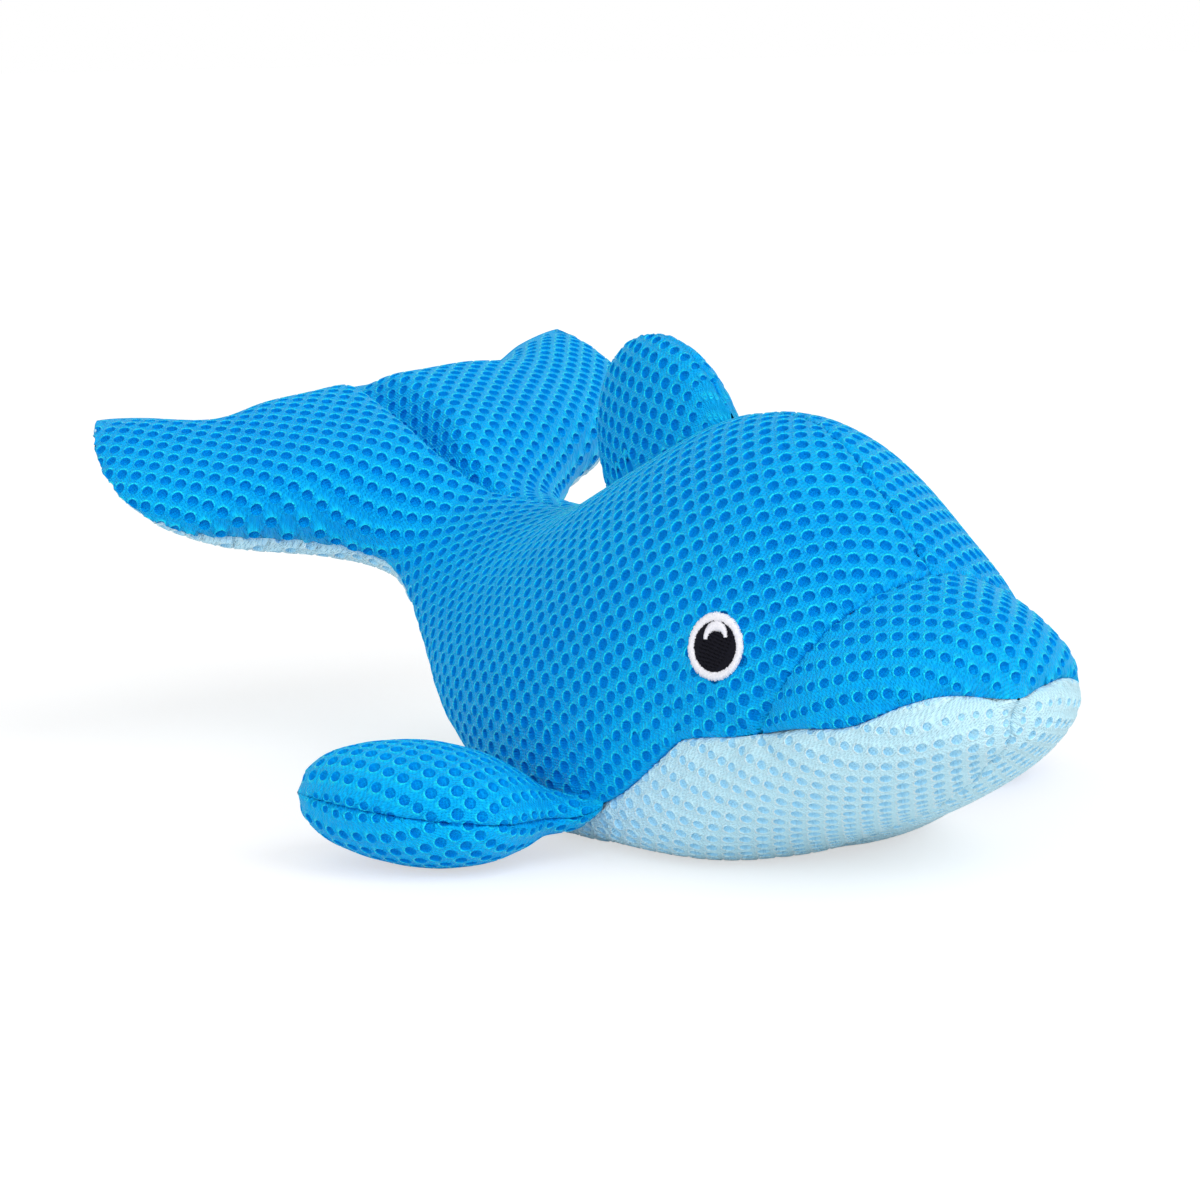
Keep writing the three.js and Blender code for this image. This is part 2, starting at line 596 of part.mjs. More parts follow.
for (const [side, label] of SIDES) {
  const flipperPanel = (first, second) => panel(flipperSkin, ...FLIPPER_FACETS, (across, length) => {
    const t = between(...FLIPPER_SPAN, length);
    return [t, seamed(flipperSkin, t, side, first, second, across), side];
  });
  add(`flipper_upper_${label}`, flipperPanel(0, Math.PI), blueMesh);
  add(`flipper_lower_${label}`, flipperPanel(Math.PI, 2 * Math.PI), blueMesh);
  const inside = (t, angle, inset) => flipperSkin(t, angle, side, inset);
  const flipperFilling = filling(inside, FLIPPER_FILL_FACETS, ...FLIPPER_SPAN, { fullTurn: true });
  add(`flipper_filling_${label}`, flipperFilling, fibre);
}

// Embroidered eyes, lying on the body panels

const eyeAngle = radians(EYE_ANGLE);
const eyeMiddle = bodySkin(EYE_STATION, eyeAngle, 1);
const perStation = eyeMiddle.distanceTo(bodySkin(EYE_STATION + STEP, eyeAngle, 1)) / STEP;
const perRadian = eyeMiddle.distanceTo(bodySkin(EYE_STATION, eyeAngle + STEP, 1)) / STEP;

// Point of the eye, forward and up from its middle, at a height over the fabric.
function eyePoint(side, forward, up, height) {
  return bodySkin(EYE_STATION - forward / perStation, eyeAngle - up / perRadian, side, -height);
}

function eyeDisc(side, width, height, low, high) {
  const rim = [[EYE_CENTRE, high], [1, high], [1, low], [EYE_CENTRE, low]];
  return pod(rim.length, EYE_FACETS, (level, turn) => {
    const [share, lift] = rim[Math.round(level * (rim.length - 1))];
    const angle = turn * 2 * Math.PI;
    const forward = share * width / 2 * Math.cos(angle);
    return eyePoint(side, forward, share * height / 2 * Math.sin(angle), lift);
  });
}

function eyeGlint(side, grow, low, high) {
  const layer = (lift) => (across, length) => {
    const angle = radians(between(GLINT_START, GLINT_END, length));
    const taper = between(GLINT_ENDS, 1, Math.sin(Math.PI * length));
    const radius = GLINT_RADIUS + (across - 0.5) * (GLINT_WIDTH * taper + 2 * grow);
    const ends = grow * (2 * length - 1);
    const forward = radius * Math.cos(angle) - ends * Math.sin(angle);
    return eyePoint(side, forward, radius * Math.sin(angle) + ends * Math.cos(angle), lift);
  };
  return shell(1, GLINT_FACETS, layer(high), layer(low));
}

const eyeLow = SEAM_GAP;
const eyeHigh = eyeLow + EYE_THICKNESS;
const through = [eyeLow - EYE_THICKNESS, eyeHigh + EYE_THICKNESS];
for (const [side, label] of SIDES) {
  const hole = eyeDisc(side, PUPIL_WIDTH + 2 * SEAM_GAP, PUPIL_HEIGHT + 2 * SEAM_GAP, ...through);
  const pupil = eyeDisc(side, PUPIL_WIDTH, PUPIL_HEIGHT, eyeLow, eyeHigh);
  const white = eyeDisc(side, EYE_WIDTH, EYE_HEIGHT, eyeLow, eyeHigh);
  add(`eye_white_${label}`, white.subtract(hole), whiteThread);
  add(`eye_pupil_${label}`, pupil.subtract(eyeGlint(side, SEAM_GAP, ...through)), blackThread);
  add(`eye_glint_${label}`, eyeGlint(side, 0, eyeLow, eyeHigh), whiteThread);
}

// Hinge lines of the pieces that flex, before the origin is set
toy.userData.hinges = {
  tail: { point: tailHinge, axis: new THREE.Vector3(0, 1, 0) },
  dorsal_fin: { point: dorsalMiddle, axis: dorsalAxis },
  flipper_right: { point: flipperFrame(-1).hinge, axis: flipperFrame(-1).chord },
  flipper_left: { point: flipperFrame(1).hinge, axis: flipperFrame(1).chord },
};

// The origin is under the middle of the whole toy, on the surface that it rests on.
const box = new THREE.Box3().setFromObject(toy);
const middle = box.getCenter(new THREE.Vector3());
toy.position.set(-middle.x, -middle.y, -box.min.z);

export default toy;
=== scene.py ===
"""Stuffed dolphin dog toy: covers of perforated mesh fabric, embroidered eyes, filling and squeaker.

The forms are worked out in millimetres, in the frame of the body's own middle, and placed by the tail hinge.
"""

import json
import math

import bpy
import numpy as np
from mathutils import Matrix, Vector


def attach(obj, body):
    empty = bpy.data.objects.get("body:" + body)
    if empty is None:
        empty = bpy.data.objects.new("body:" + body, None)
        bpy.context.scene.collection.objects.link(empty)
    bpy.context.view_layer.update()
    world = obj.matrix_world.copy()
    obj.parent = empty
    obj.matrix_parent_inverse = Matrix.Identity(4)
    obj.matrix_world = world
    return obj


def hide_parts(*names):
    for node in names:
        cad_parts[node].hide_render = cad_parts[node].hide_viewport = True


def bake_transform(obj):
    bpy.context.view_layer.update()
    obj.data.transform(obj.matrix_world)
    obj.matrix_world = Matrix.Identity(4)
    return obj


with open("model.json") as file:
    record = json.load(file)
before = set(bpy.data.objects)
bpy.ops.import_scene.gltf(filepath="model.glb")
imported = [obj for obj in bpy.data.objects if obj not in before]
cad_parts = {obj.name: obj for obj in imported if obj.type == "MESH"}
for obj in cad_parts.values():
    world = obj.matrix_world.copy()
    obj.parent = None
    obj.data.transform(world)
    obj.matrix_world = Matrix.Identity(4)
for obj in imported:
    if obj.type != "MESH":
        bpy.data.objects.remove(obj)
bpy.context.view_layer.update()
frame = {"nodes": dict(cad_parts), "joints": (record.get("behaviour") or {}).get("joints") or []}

MM = 0.001
SMALL = 1e-6
TINY = 1e-12

# Body
BODY_LENGTH = 223
BODY_WIDTH = 120
BODY_HEIGHT = 113
BELLY_FLAT = 0.5
CREASE_STATION = 3.9  # forehead seam at the top, in stations from the nose
CREASE_SWEEP = 0.85

# Tail and flukes
TAIL_LENGTH = 76
TAIL_RISE = 34
FLUKE_SPAN = 187
FLUKE_THICKNESS = 30
FLUKE_SWEEP = 17.4
TAIL_SWAY = -9.6
TAIL_ROLL = 6
TAIL_HINGE_STATION = 10
TAIL_BEND_LENGTH = 30  # length about the tail hinge between the two points of HIP

# Dorsal fin
DORSAL_HEIGHT = 37
DORSAL_THICKNESS = 21
DORSAL_LEAN = -0.075
DORSAL_FRONT_STATION = 7.29
DORSAL_REAR_STATION = 8.93
DORSAL_ROOT_ANGLE = 118  # the fin's cover ends here, inside the back

# Flippers
FLIPPER_LENGTH = 69
FLIPPER_WIDTH = 48
FLIPPER_CURVE = 8
FLIPPER_THICKNESS = 32
FLIPPER_STATION = 6.95
FLIPPER_SWEEP = 22
FLIPPER_LIFT = 6
FLIPPER_NECK_WIDTH = 18
FLIPPER_NECK_THICKNESS = 10
FLIPPER_STANDOFF = 5.5

# Sections of the body: distance from the nose over BODY_LENGTH, height of the widest line over BODY_HEIGHT,
# slope, half width over half BODY_WIDTH, height above and below the widest line over BODY_HEIGHT, angle of the
# side seam from the top, and roundness of the lower half.
BODY_ROWS = (
    (0.000, 0.469, 0, 0.000, 0.000, 0.000, 76, 1.00),
    (0.011, 0.457, 0, 0.288, 0.096, 0.092, 68, 1.00),
    (0.040, 0.443, 0, 0.495, 0.185, 0.133, 79, 1.00),
    (0.087, 0.411, 0, 0.636, 0.264, 0.182, 88, 1.00),
    (0.148, 0.382, 0, 0.742, 0.344, 0.226, 86, 1.00),
    (0.224, 0.348, 0, 0.815, 0.506, 0.263, 88, 0.90),
    (0.336, 0.321, 0, 0.910, 0.673, 0.322, 92, 0.62),
    (0.471, 0.289, 0, 0.993, 0.712, 0.308, 113, 0.54),
    (0.623, 0.258, 0, 1.010, 0.612, 0.283, 127, 0.61),
    (0.780, 0.292, 4, 0.900, 0.442, 0.235, 125, 0.85),
    (0.901, 0.381, 14, 0.727, 0.318, 0.177, 116, 1.00),
    (1.000, 0.482, 25, 0.586, 0.230, 0.150, 107, 1.00),
)

# Sections of the flukes: distance behind the tail stock over TAIL_LENGTH, half width over half FLUKE_SPAN,
# height above and below the fold over FLUKE_THICKNESS, seam angle, sweep over FLUKE_SWEEP, and valley depth.
FLUKE_ROWS = (
    (0.18, 0.355, 0.72, 0.48, 103, 0.00, 0.10),
    (0.34, 0.500, 0.74, 0.46, 101, 0.03, 0.30),
    (0.52, 0.840, 0.80, 0.46, 99, 0.06, 0.50),
    (0.72, 0.980, 0.68, 0.42, 98, 0.13, 0.62),
    (0.90, 0.958, 0.44, 0.32, 95, 0.59, 0.66),
    (1.00, 0.890, 0.02, 0.02, 91, 0.76, 0.66),
)
TRAILING_EDGE = (0.53, 0.47, 0.47, 0.34, 0.75, 0.98)  # from the notch to the tip, over FLUKE_SWEEP

# Sections of a flipper: distance from the hinge, width and thickness, over the flipper's own.
FLIPPER_ROWS = (
    (0.08, 0.46, 0.38),
    (0.19, 0.74, 0.64),
    (0.33, 0.96, 0.88),
    (0.52, 1.00, 1.00),
    (0.72, 0.86, 0.92),
    (0.88, 0.60, 0.70),
    (0.97, 0.31, 0.38),
    (1.00, 0.03, 0.03),
)

MIDDLE = 0.623  # the frame's middle over BODY_LENGTH, from the nose
LOBE_WIDTH = 0.065  # of the valley between the flukes, over their half width
CROWN_ROUND = 1.12
NOSE_START = 0.06  # first station of the covers
WARP_DELAY = 0.5  # stations from the tail hinge to the start of the tail's sway and roll
WARP_STATIONS = 3.5
SPREAD_STATIONS = 2  # from the tail stock to the start of the trailing edge's form
FLIPPER_ROOT = 0.2  # share of a flipper's cover that is tucked in

# Mesh fabric: staggered round holes in a thick knitted cloth
HOLE_PITCH_ALONG = 6.6
HOLE_PITCH_ACROSS = 6.2
HOLE_RINGS = (  # radius, height and share of painted light: a glint on the rim, and inside a hole a lighter side
    (2.12, -0.02, 0.50),
    (1.92, 0.14, 1.00),
    (1.68, 0.02, 1.00),
    (1.52, -0.34, 0.70),
    (1.44, -0.80, 1.00),
    (0.75, -0.98, 0.90),
)
# painted light on the floor in the middle of a hole
HOLE_MIDDLE_PAINTED_LIGHT = 0.4
PAINTED_LIGHT_LEAST = 0.1  # share of painted light on a hole's other side
PAINTED_LIGHT_MORE = 0.1  # the painted light reaches a little past half of the ring
PAINTED_LIGHT_TURN = 0.6  # painted light lies as a glint on the rim's side towards the tail and up, and inside a hole on the side across from it
RIM_HEIGHT = -0.16  # of the cloth between the rings of two holes
FIRST_WALL_RING = 2  # rings from here on are the inside of a hole
HOLE_LEAST = 0.42  # a hole squeezed to less than this share closes
HOLE_MOST = 1.12

# Seams
SEAM_ROLL = 1.5  # radius that the cloth turns in with
SEAM_DIP = 0.9  # depth of the soft valley beside a seam
SEAM_DIP_WIDTH = 6
SEAM_SHADE_REACH = 4  # the painted shade along a seam follows its distance to the seam up to here
EDGE_FADE = 6  # the cloth lies flat towards an edge that comes to a point
TIP_CALM = 10  # the cloth's relief fades out over this distance to the tip of a fluke
HEM_BULGE = 0.7  # of the edge in which the cloth of the flukes ends
HEM_POINTS = 181
HEM_SIDES = 7
HEM_STEP = 0.02  # stations
PUCKER_HEIGHT = 0.28
PUCKER_LENGTH = 9
PUCKER_REACH = 7
PUCKER_DRIFT = 1.7  # radians by which the puckers' spacing drifts
PUCKER_DRIFT_LENGTH = 13
FLIPPER_TUCK = 9  # the flipper's root goes this far in behind its hinge
FLIPPER_TUCK_WIDTH = 13
FLIPPER_TUCK_THICKNESS = 4.8
FLIPPER_TUCK_RISE = 4

# Embroidered eyes
EYE_STATION = 5.46
EYE_ANGLE = 66.5
EYE_WIDTH = 17.4
EYE_HEIGHT = 16.8
PUPIL_WIDTH = 13.4
PUPIL_HEIGHT = 12.4
EYE_TILT = 13  # degrees that its top leans forward
GLINT_RISE = 1.8  # middle of the crescent's arc, over the eye's
GLINT_BACK = 1.0  # and behind it
GLINT_RADIUS = 3.1
GLINT_WIDTH = 2.5
GLINT_NARROW = 0.35  # width at the crescent's ends, over its own
GLINT_START = 38
GLINT_END = 212
THREAD_RADIUS = 0.18
THREAD_PITCH = 0.30
THREAD_SIDES = 6
STITCH_POINTS = 5
STITCH_RAGGED = 0.4
STITCH_OVERLAP = 0.2
STITCH_LEAST = 0.5
RING_STITCH = (0.15, 0.95)  # heights over the cloth of a stitch's ends and of its middle
PUPIL_STITCH = (0.45, 0.85)
GLINT_STITCH = (0.7, 1.25)
PUPIL_STAGGER = 1.4
OUTER_SERIES = 400  # so that the two ends of a stitch differ
END_SERIES = 700
PAD_SIDES = 48
PAD_DEPTH = 0.3
RING_PAD_HEIGHT = 0.3
RING_MARGIN = 0.8
PUPIL_PAD_HEIGHT = 0.55
EYE_STEP = 0.02

# Camera
VIEW_AZIMUTH = 54.386
VIEW_ELEVATION = 10
VIEW_DISTANCE = 1000
VIEW_AIM_RIGHT = -21.67
VIEW_AIM_UP = 57.73
LENS = 108.98
SENSOR = 36

# Light and floor. The floor shows white where it is fully lit, and keeps half of the shadow's depth.
KEY_LIGHT = 1.05
KEY_PLACE = (0.75, 0.5, 0.9)
KEY_SOFTNESS = 40
FILL_LIGHT = 1.15
FILL_PLACE = (-0.1, 1.0, 0.5)
FILL_SOFTNESS = 60
SKY_LIGHT = 0.54
FLOOR_SIZE = 12
FLOOR_DROP = 0.0003
FLOOR_PALE = (0.95, 0.95, 0.95)
FLOOR_GREY = (0.93, 0.93, 0.93)
FLOOR_SHADED = (0.5, 0.5, 0.5)
FLOOR_GLOW = 0.6


# Curves and small helpers

def smooth(value):
    value = np.clip(value, 0, 1)
    return value * value * (3 - 2 * value)


def between(first, second, share):
    return first + (second - first) * share


def arrays(*values):
    return np.broadcast_arrays(*(np.asarray(value, float) for value in values))


def signed_power(value, power):
    return np.sign(value) * np.abs(value) ** power


def distances(offsets):
    return np.linalg.norm(offsets, axis=-1)


def unit(vectors):
    return vectors / np.maximum(distances(vectors), TINY)[..., None]


def dot(first, second):
    return (first * second).sum(-1)


def turn_of(first, second):
    """Area between two directions in the flat."""
    return first[:, 0] * second[:, 1] - first[:, 1] * second[:, 0]


def facing(corners, outward):
    """Over 0 where quads turn to the outside."""
    return dot(np.cross(corners[:, 2] - corners[:, 0], corners[:, 3] - corners[:, 1]), outward)


def grid_faces(rows, columns, closed=False):
    """Quads between the points of a grid, the last column joined to the first where it is closed."""
    index = np.arange(rows * columns).reshape(rows, columns)
    if closed:
        index = np.concatenate([index, index[:, :1]], axis=1)
    return np.stack([index[:-1, :-1], index[1:, :-1], index[1:, 1:], index[:-1, 1:]], -1).reshape(-1, 4)


def curve(a, b, c, d, t):
    """Catmull-Rom curve from b to c."""
    start = (c - a) / 2
    end = (d - b) / 2
    return (2 * b - 2 * c + start + end) * t**3 + (3 * c - 3 * b - 2 * start - end) * t**2 + start * t + b


def along(rows, position):
    """Smooth curve through the rows of a table, at positions counted in rows."""
    last = len(rows) - 1
    index = np.clip(np.floor(position).astype(int), 0, last - 1)
    t = np.clip(position - index, -0.5, 1.5)[..., None]
    return curve(*(rows[np.clip(index + k, 0, last)] for k in (-1, 0, 1, 2)), t)


# Forms

def body_stations():
    rows = []
    for reach, lift, slope, width, up, down, seam, roundness in BODY_ROWS:
        rows.append((BODY_LENGTH * (MIDDLE - reach), BODY_HEIGHT * lift, slope, BODY_WIDTH / 2 * width,
                     BODY_HEIGHT * up, BODY_HEIGHT * down, seam, 0, 0, roundness))
    stock_x, stock_z = rows[-1][:2]
    rise = math.radians(TAIL_RISE)
    for reach, width, up, down, seam, sweep, valley in FLUKE_ROWS:
        rows.append((stock_x - TAIL_LENGTH * reach * math.cos(rise), stock_z + TAIL_LENGTH * reach * math.sin(rise),
                     TAIL_RISE, FLUKE_SPAN / 2 * width, FLUKE_THICKNESS * up, FLUKE_THICKNESS * down, seam,
                     FLUKE_SWEEP * sweep, valley, 1))
    return np.array(rows, float)


STATIONS = body_stations()
SEAM_COLUMN = 6
ROUND_COLUMN = 9
STOCK = len(BODY_ROWS) - 1
TAIL_END = len(STATIONS) - 1
EDGE_ROWS = np.array(TRAILING_EDGE, float)[:, None] * FLUKE_SWEEP
FLIPPER_STATIONS = np.array(
    [(0, FLIPPER_NECK_WIDTH / 2, FLIPPER_NECK_THICKNESS / 2)]
    + [(FLIPPER_LENGTH * reach, FLIPPER_WIDTH / 2 * width, FLIPPER_THICKNESS / 2 * thick)
       for reach, width, thick in FLIPPER_ROWS])


def seam_angle(u):
    return np.radians(along(STATIONS, np.asarray(u, float))[..., SEAM_COLUMN])


def section_power(u, angle):
    return np.where(np.cos(angle) < 0, along(STATIONS, u)[..., ROUND_COLUMN], CROWN_ROUND)


def bent(angle, power):
    return np.arctan2(signed_power(np.sin(angle), power), signed_power(np.cos(angle), power))


def polar(u, angle):
    """Direction of a point of a section, which goes round evenly where the angle doesn't."""
    u, angle = arrays(u, angle)
    return bent(angle, section_power(u, angle))


def from_polar(u, direction):
    u, direction = arrays(u, direction)
    wrapped = np.round(direction / (2 * np.pi)) * 2 * np.pi
    return bent(direction, 1 / section_power(u, direction)) + wrapped


CREASE_MIDDLE = np.array(CREASE_STATION + CREASE_SWEEP / 2)


def crease_station(share):
    """Forehead seam, at a share of the way round from the top to the side seam."""
    seam = seam_angle(CREASE_MIDDLE)
    angle = from_polar(CREASE_MIDDLE, np.clip(share, 0, 1) * polar(CREASE_MIDDLE, seam))
    return CREASE_STATION + CREASE_SWEEP * (angle / seam) ** 2


def body_skin(u, angle):
    """Outer surface of the body, tail and flukes. u counts stations from the nose; angle runs from the top
    centre seam, positive to the left, and is pi at the belly seam."""
    u, angle = arrays(u, angle)
    x, z, slope, width, up, down, _, sweep, valley, roundness = np.moveaxis(along(STATIONS, u), -1, 0)
    low = np.cos(angle) < 0
    power = np.where(low, roundness, CROWN_ROUND)
    spread = signed_power(np.sin(angle), power)
    dip = 1 - valley * np.exp(-((spread / LOBE_WIDTH) ** 2))
    height = signed_power(np.cos(angle), power) * np.where(low, down, up) * dip
    spread_start = STOCK + SPREAD_STATIONS
    trail = smooth((u - spread_start) / (TAIL_END - spread_start)) ** 2
    edge = along(EDGE_ROWS, np.abs(spread) * (len(EDGE_ROWS) - 1))[..., 0]
    back = between(sweep * spread**2, edge, trail)
    tilt = np.radians(slope)
    level = np.maximum(z + back * np.sin(tilt) + height * np.cos(tilt), BELLY_FLAT) - z
    start = TAIL_HINGE_STATION + WARP_DELAY
    warp = smooth((u - start) / WARP_STATIONS)
    roll = np.radians(TAIL_ROLL) * warp
    side = spread * width
    return np.stack([
        x - back * np.cos(tilt) + height * np.sin(tilt),
        side * np.cos(roll) - level * np.sin(roll) + TAIL_SWAY * warp,
        z + side * np.sin(roll) + level * np.cos(roll),
    ], -1)


DORSAL_FRONT = body_skin(DORSAL_FRONT_STATION, 0.0)
DORSAL_REAR = body_skin(DORSAL_REAR_STATION, 0.0)
DORSAL_MIDDLE = (DORSAL_FRONT + DORSAL_REAR) / 2
DORSAL_AXIS = unit(DORSAL_FRONT - DORSAL_REAR)
DORSAL_UP = np.array([-DORSAL_AXIS[2], 0, DORSAL_AXIS[0]])
DORSAL_HALF = np.linalg.norm(DORSAL_FRONT - DORSAL_REAR) / 2


def dorsal_skin(t, angle):
    """Dorsal fin: t from its front to its rear, angle from its top edge, positive to the left."""
    t, angle = arrays(t, angle)
    roundness = np.sin(np.pi * t)
    thick = DORSAL_THICKNESS / 2
    rise = np.where(np.cos(angle) > 0, DORSAL_HEIGHT, thick) * np.cos(angle) * roundness
    shift = DORSAL_HALF * np.cos(np.pi * t) + DORSAL_LEAN * np.maximum(rise, 0)
    point = DORSAL_MIDDLE + DORSAL_AXIS * shift[..., None] + DORSAL_UP * rise[..., None]
    point[..., 1] = thick * roundness * np.sin(angle)
    return point


def flipper_frame(side):
    sweep = math.radians(FLIPPER_SWEEP)
    lift = math.radians(FLIPPER_LIFT)
    chord = np.array([math.cos(sweep), side * math.sin(sweep), 0])
    out = np.array([-math.sin(sweep) * math.cos(lift), side * math.cos(sweep) * math.cos(lift), math.sin(lift)])
    up = np.cross(chord, out) * side
    hinge = body_skin(FLIPPER_STATION, side * seam_angle(FLIPPER_STATION)) + out * FLIPPER_STANDOFF
    return chord, out, up, hinge


def flipper_skin(side):
    """Surface of one flipper: t from root to tip, angle from the front edge over the top."""
    chord, out, up, hinge = flipper_frame(side)

    def skin(t, angle):
        t, angle = arrays(t, angle)
        share = np.maximum((t - FLIPPER_ROOT) / (1 - FLIPPER_ROOT), 0)
        tuck = np.minimum(t / FLIPPER_ROOT, 1)
        reach, width, thick = np.moveaxis(along(FLIPPER_STATIONS, share * (len(FLIPPER_STATIONS) - 1)), -1, 0)
        swelling = np.sin(np.pi / 2 * tuck)
        reach = reach - FLIPPER_TUCK * (1 - tuck)
        width = between(FLIPPER_TUCK_WIDTH / 2, width, swelling)
        thick = between(FLIPPER_TUCK_THICKNESS / 2, thick, swelling)
        forward = width * np.cos(angle) - FLIPPER_CURVE * (reach / FLIPPER_LENGTH) ** 2
        rise = thick * np.sin(angle) + FLIPPER_TUCK_RISE * (1 - tuck) ** 2
        return hinge + out * reach[..., None] + chord * forward[..., None] + up * rise[..., None]

    return skin


# Place of the forms in the frame: the tail hinge is the same point in both.
def tail_hinge():
    x, z, slope, _, up, down = along(STATIONS, np.array(float(TAIL_HINGE_STATION)))[:6]
    rise = (up - down) / 2
    tilt = math.radians(slope)
    return np.array([x + rise * math.sin(tilt), 0, z + rise * math.cos(tilt)])


JOINTS = {joint["name"]: joint for joint in frame["joints"]}
SHIFT = np.array(JOINTS["tail_bend"]["pos_m"]) / MM - tail_hinge()


def placed(points):
    """Points of the forms, in metres in the frame."""
    return (np.asarray(points, float) + SHIFT) * MM


# Filling: a cloth simulation swells each form between its seams

CLOTH_STEP = 3.0  # millimetres between the points of the simulated cloth
CLOTH_PRESSURE = 4.0
CLOTH_FRAMES = 20
MOST_SWELL = 2.4
LINE_POINTS = 400  # of the line that measures a form's length


class Form:
    """A stuffed form: its surface, and how far its filling moves the cloth.

    column gives the place round the form, in quarters from 0 to 4, and turn gives the angle back. held says
    which places the seams hold."""

    def __init__(self, skin, column, turn, held, span, columns):
        self.skin = skin
        self.column = column
        self.moves = None
        self.simulate(turn, held, span, columns)

    def simulate(self, turn, held, span, columns):
        fine = np.linspace(*span, LINE_POINTS)
        line = self.skin(fine, turn(fine, np.full(LINE_POINTS, 0.5)))
        length = np.concatenate([[0], np.cumsum(distances(np.diff(line, axis=0)))])
        count = int(length[-1] / CLOTH_STEP) + 1
        rows = np.interp(np.linspace(0, length[-1], count), length, fine)
        place = np.arange(columns) * 4 / columns
        v, quarter = np.meshgrid(rows, place, indexing="ij")
        start = self.skin(v, turn(v, quarter))
        outward = (start - start.mean(1, keepdims=True)).reshape(-1, 3)
        start = start.reshape(-1, 3)
        faces = grid_faces(count, columns, closed=True)
        if facing(start[faces], outward[faces[:, 0]]).sum() < 0:
            faces = faces[:, ::-1]
        cloth = mesh_object("simulated_cloth", start * MM, faces, [])
        ends = (v == rows[0]) | (v == rows[-1])
        pins = np.flatnonzero((held(v, quarter, rows[1] - rows[0]) | ends).ravel())
        cloth.vertex_groups.new(name="seams").add(pins.tolist(), 1, "REPLACE")
        modifier = cloth.modifiers.new("cloth", "CLOTH")
        settings = modifier.settings
        settings.use_pressure = True
        settings.uniform_pressure_force = CLOTH_PRESSURE
        settings.vertex_group_mass = "seams"
        settings.effector_weights.gravity = 0
        modifier.point_cache.frame_end = CLOTH_FRAMES
        for number in range(1, CLOTH_FRAMES + 1):
            bpy.context.scene.frame_set(number)
        settled = cloth.evaluated_get(bpy.context.evaluated_depsgraph_get()).data
        points = np.zeros(len(settled.vertices) * 3)
        settled.vertices.foreach_get("co", points)
        moves = points.reshape(-1, 3) / MM - start
        size = distances(moves)[:, None]
        moves *= MOST_SWELL * np.tanh(size / MOST_SWELL) / np.maximum(size, TINY)
        bpy.context.scene.frame_set(1)
        mesh = cloth.data
        bpy.data.objects.remove(cloth)
        bpy.data.meshes.remove(mesh)
        self.rows = rows
        self.moves = moves.reshape(count, columns, 3)

    def swell(self, v, angle):
        """Move of the cloth by its filling, in millimetres."""
        if self.moves is None:
            return np.zeros((*np.shape(v), 3))
        count, columns, _ = self.moves.shape
        row = np.interp(v, self.rows, np.arange(count))
        i = np.minimum(row.astype(int), count - 2)
        column = np.mod(self.column(v, angle), 4) * columns / 4
        j = column.astype(int) % columns
        k = (j + 1) % columns
        f, g = (row - i)[..., None], (column - np.floor(column))[..., None]
        return between(between(self.moves[i, j], self.moves[i, k], g),
                       between(self.moves[i + 1, j], self.moves[i + 1, k], g), f)


# Fabric panels

ROWS = 241  # rows and columns of the tables that measure a panel
COLUMNS = 49
MARGIN = 0.3  # the tables go this share of its width past its long seams
MARGIN_COLUMNS = 9
ACROSS = np.concatenate([np.linspace(-MARGIN, 0, MARGIN_COLUMNS)[:-1],
                         (1 - np.cos(np.linspace(0, np.pi, COLUMNS))) / 2,
                         np.linspace(1, 1 + MARGIN, MARGIN_COLUMNS)[1:]])
END_POINTS = 21  # shares across at which its ends are looked up
STEP = 1e-4
HOLE_STEP = 0.006
GRAIN_STEP = 0.01
GRAIN_LEAST = 0.08  # the line along the cloth keeps this share from the long seams
PAST_EDGE = 6  # most columns that a place may lie past the tables

FLAT_ROWS = 44  # of the grid of points by which a panel is laid flat
FLAT_COLUMNS = 22
FLAT_ROUNDS = 5  # more would fold it where the flukes begin
FLAT_STEP = 0.01
FIND_ROUNDS = 14
FIND_MOST = 0.1  # share of the panel that a round may move a place
FIND_BLOCK = 2000  # places looked up together


def laid_flat(points, guess):
    """Places of a grid of points of the cloth before it was sewn, lying flat with as little stretch as can be."""
    rows, columns, _ = points.shape
    index = np.arange(rows * columns).reshape(rows, columns)
    neighbours = ((index[:-1], index[1:]), (index[:, :-1], index[:, 1:]),
                  (index[:-1, :-1], index[1:, 1:]), (index[:-1, 1:], index[1:, :-1]))
    first, second = (np.concatenate([pair[k].ravel() for pair in neighbours]) for k in (0, 1))
    points = points.reshape(-1, 3)
    length = distances(points[first] - points[second])
    weight = 1 / np.maximum(length, 1)
    stiffness = np.full((rows * columns,) * 2, 1 / (rows * columns))
    for i, j, sign in ((first, first, 1), (second, second, 1), (first, second, -1), (second, first, -1)):
        np.add.at(stiffness, (i, j), sign * weight)
    loosened = np.linalg.inv(stiffness)
    place = guess.reshape(-1, 2)
    for _ in range(FLAT_ROUNDS):
        offset = place[first] - place[second]
        offset *= (weight * length / np.maximum(distances(offset), SMALL))[:, None]
        force = np.zeros_like(place)
        np.add.at(force, first, offset)
        np.add.at(force, second, -offset)
        place = loosened @ force
    return place.reshape(rows, columns, 2)


def skin_normal(skin, v, angle):
    along_v = skin(v + STEP, angle) - skin(v - STEP, angle)
    along_angle = skin(v, angle + STEP) - skin(v, angle - STEP)
    return unit(np.cross(along_v, along_angle))


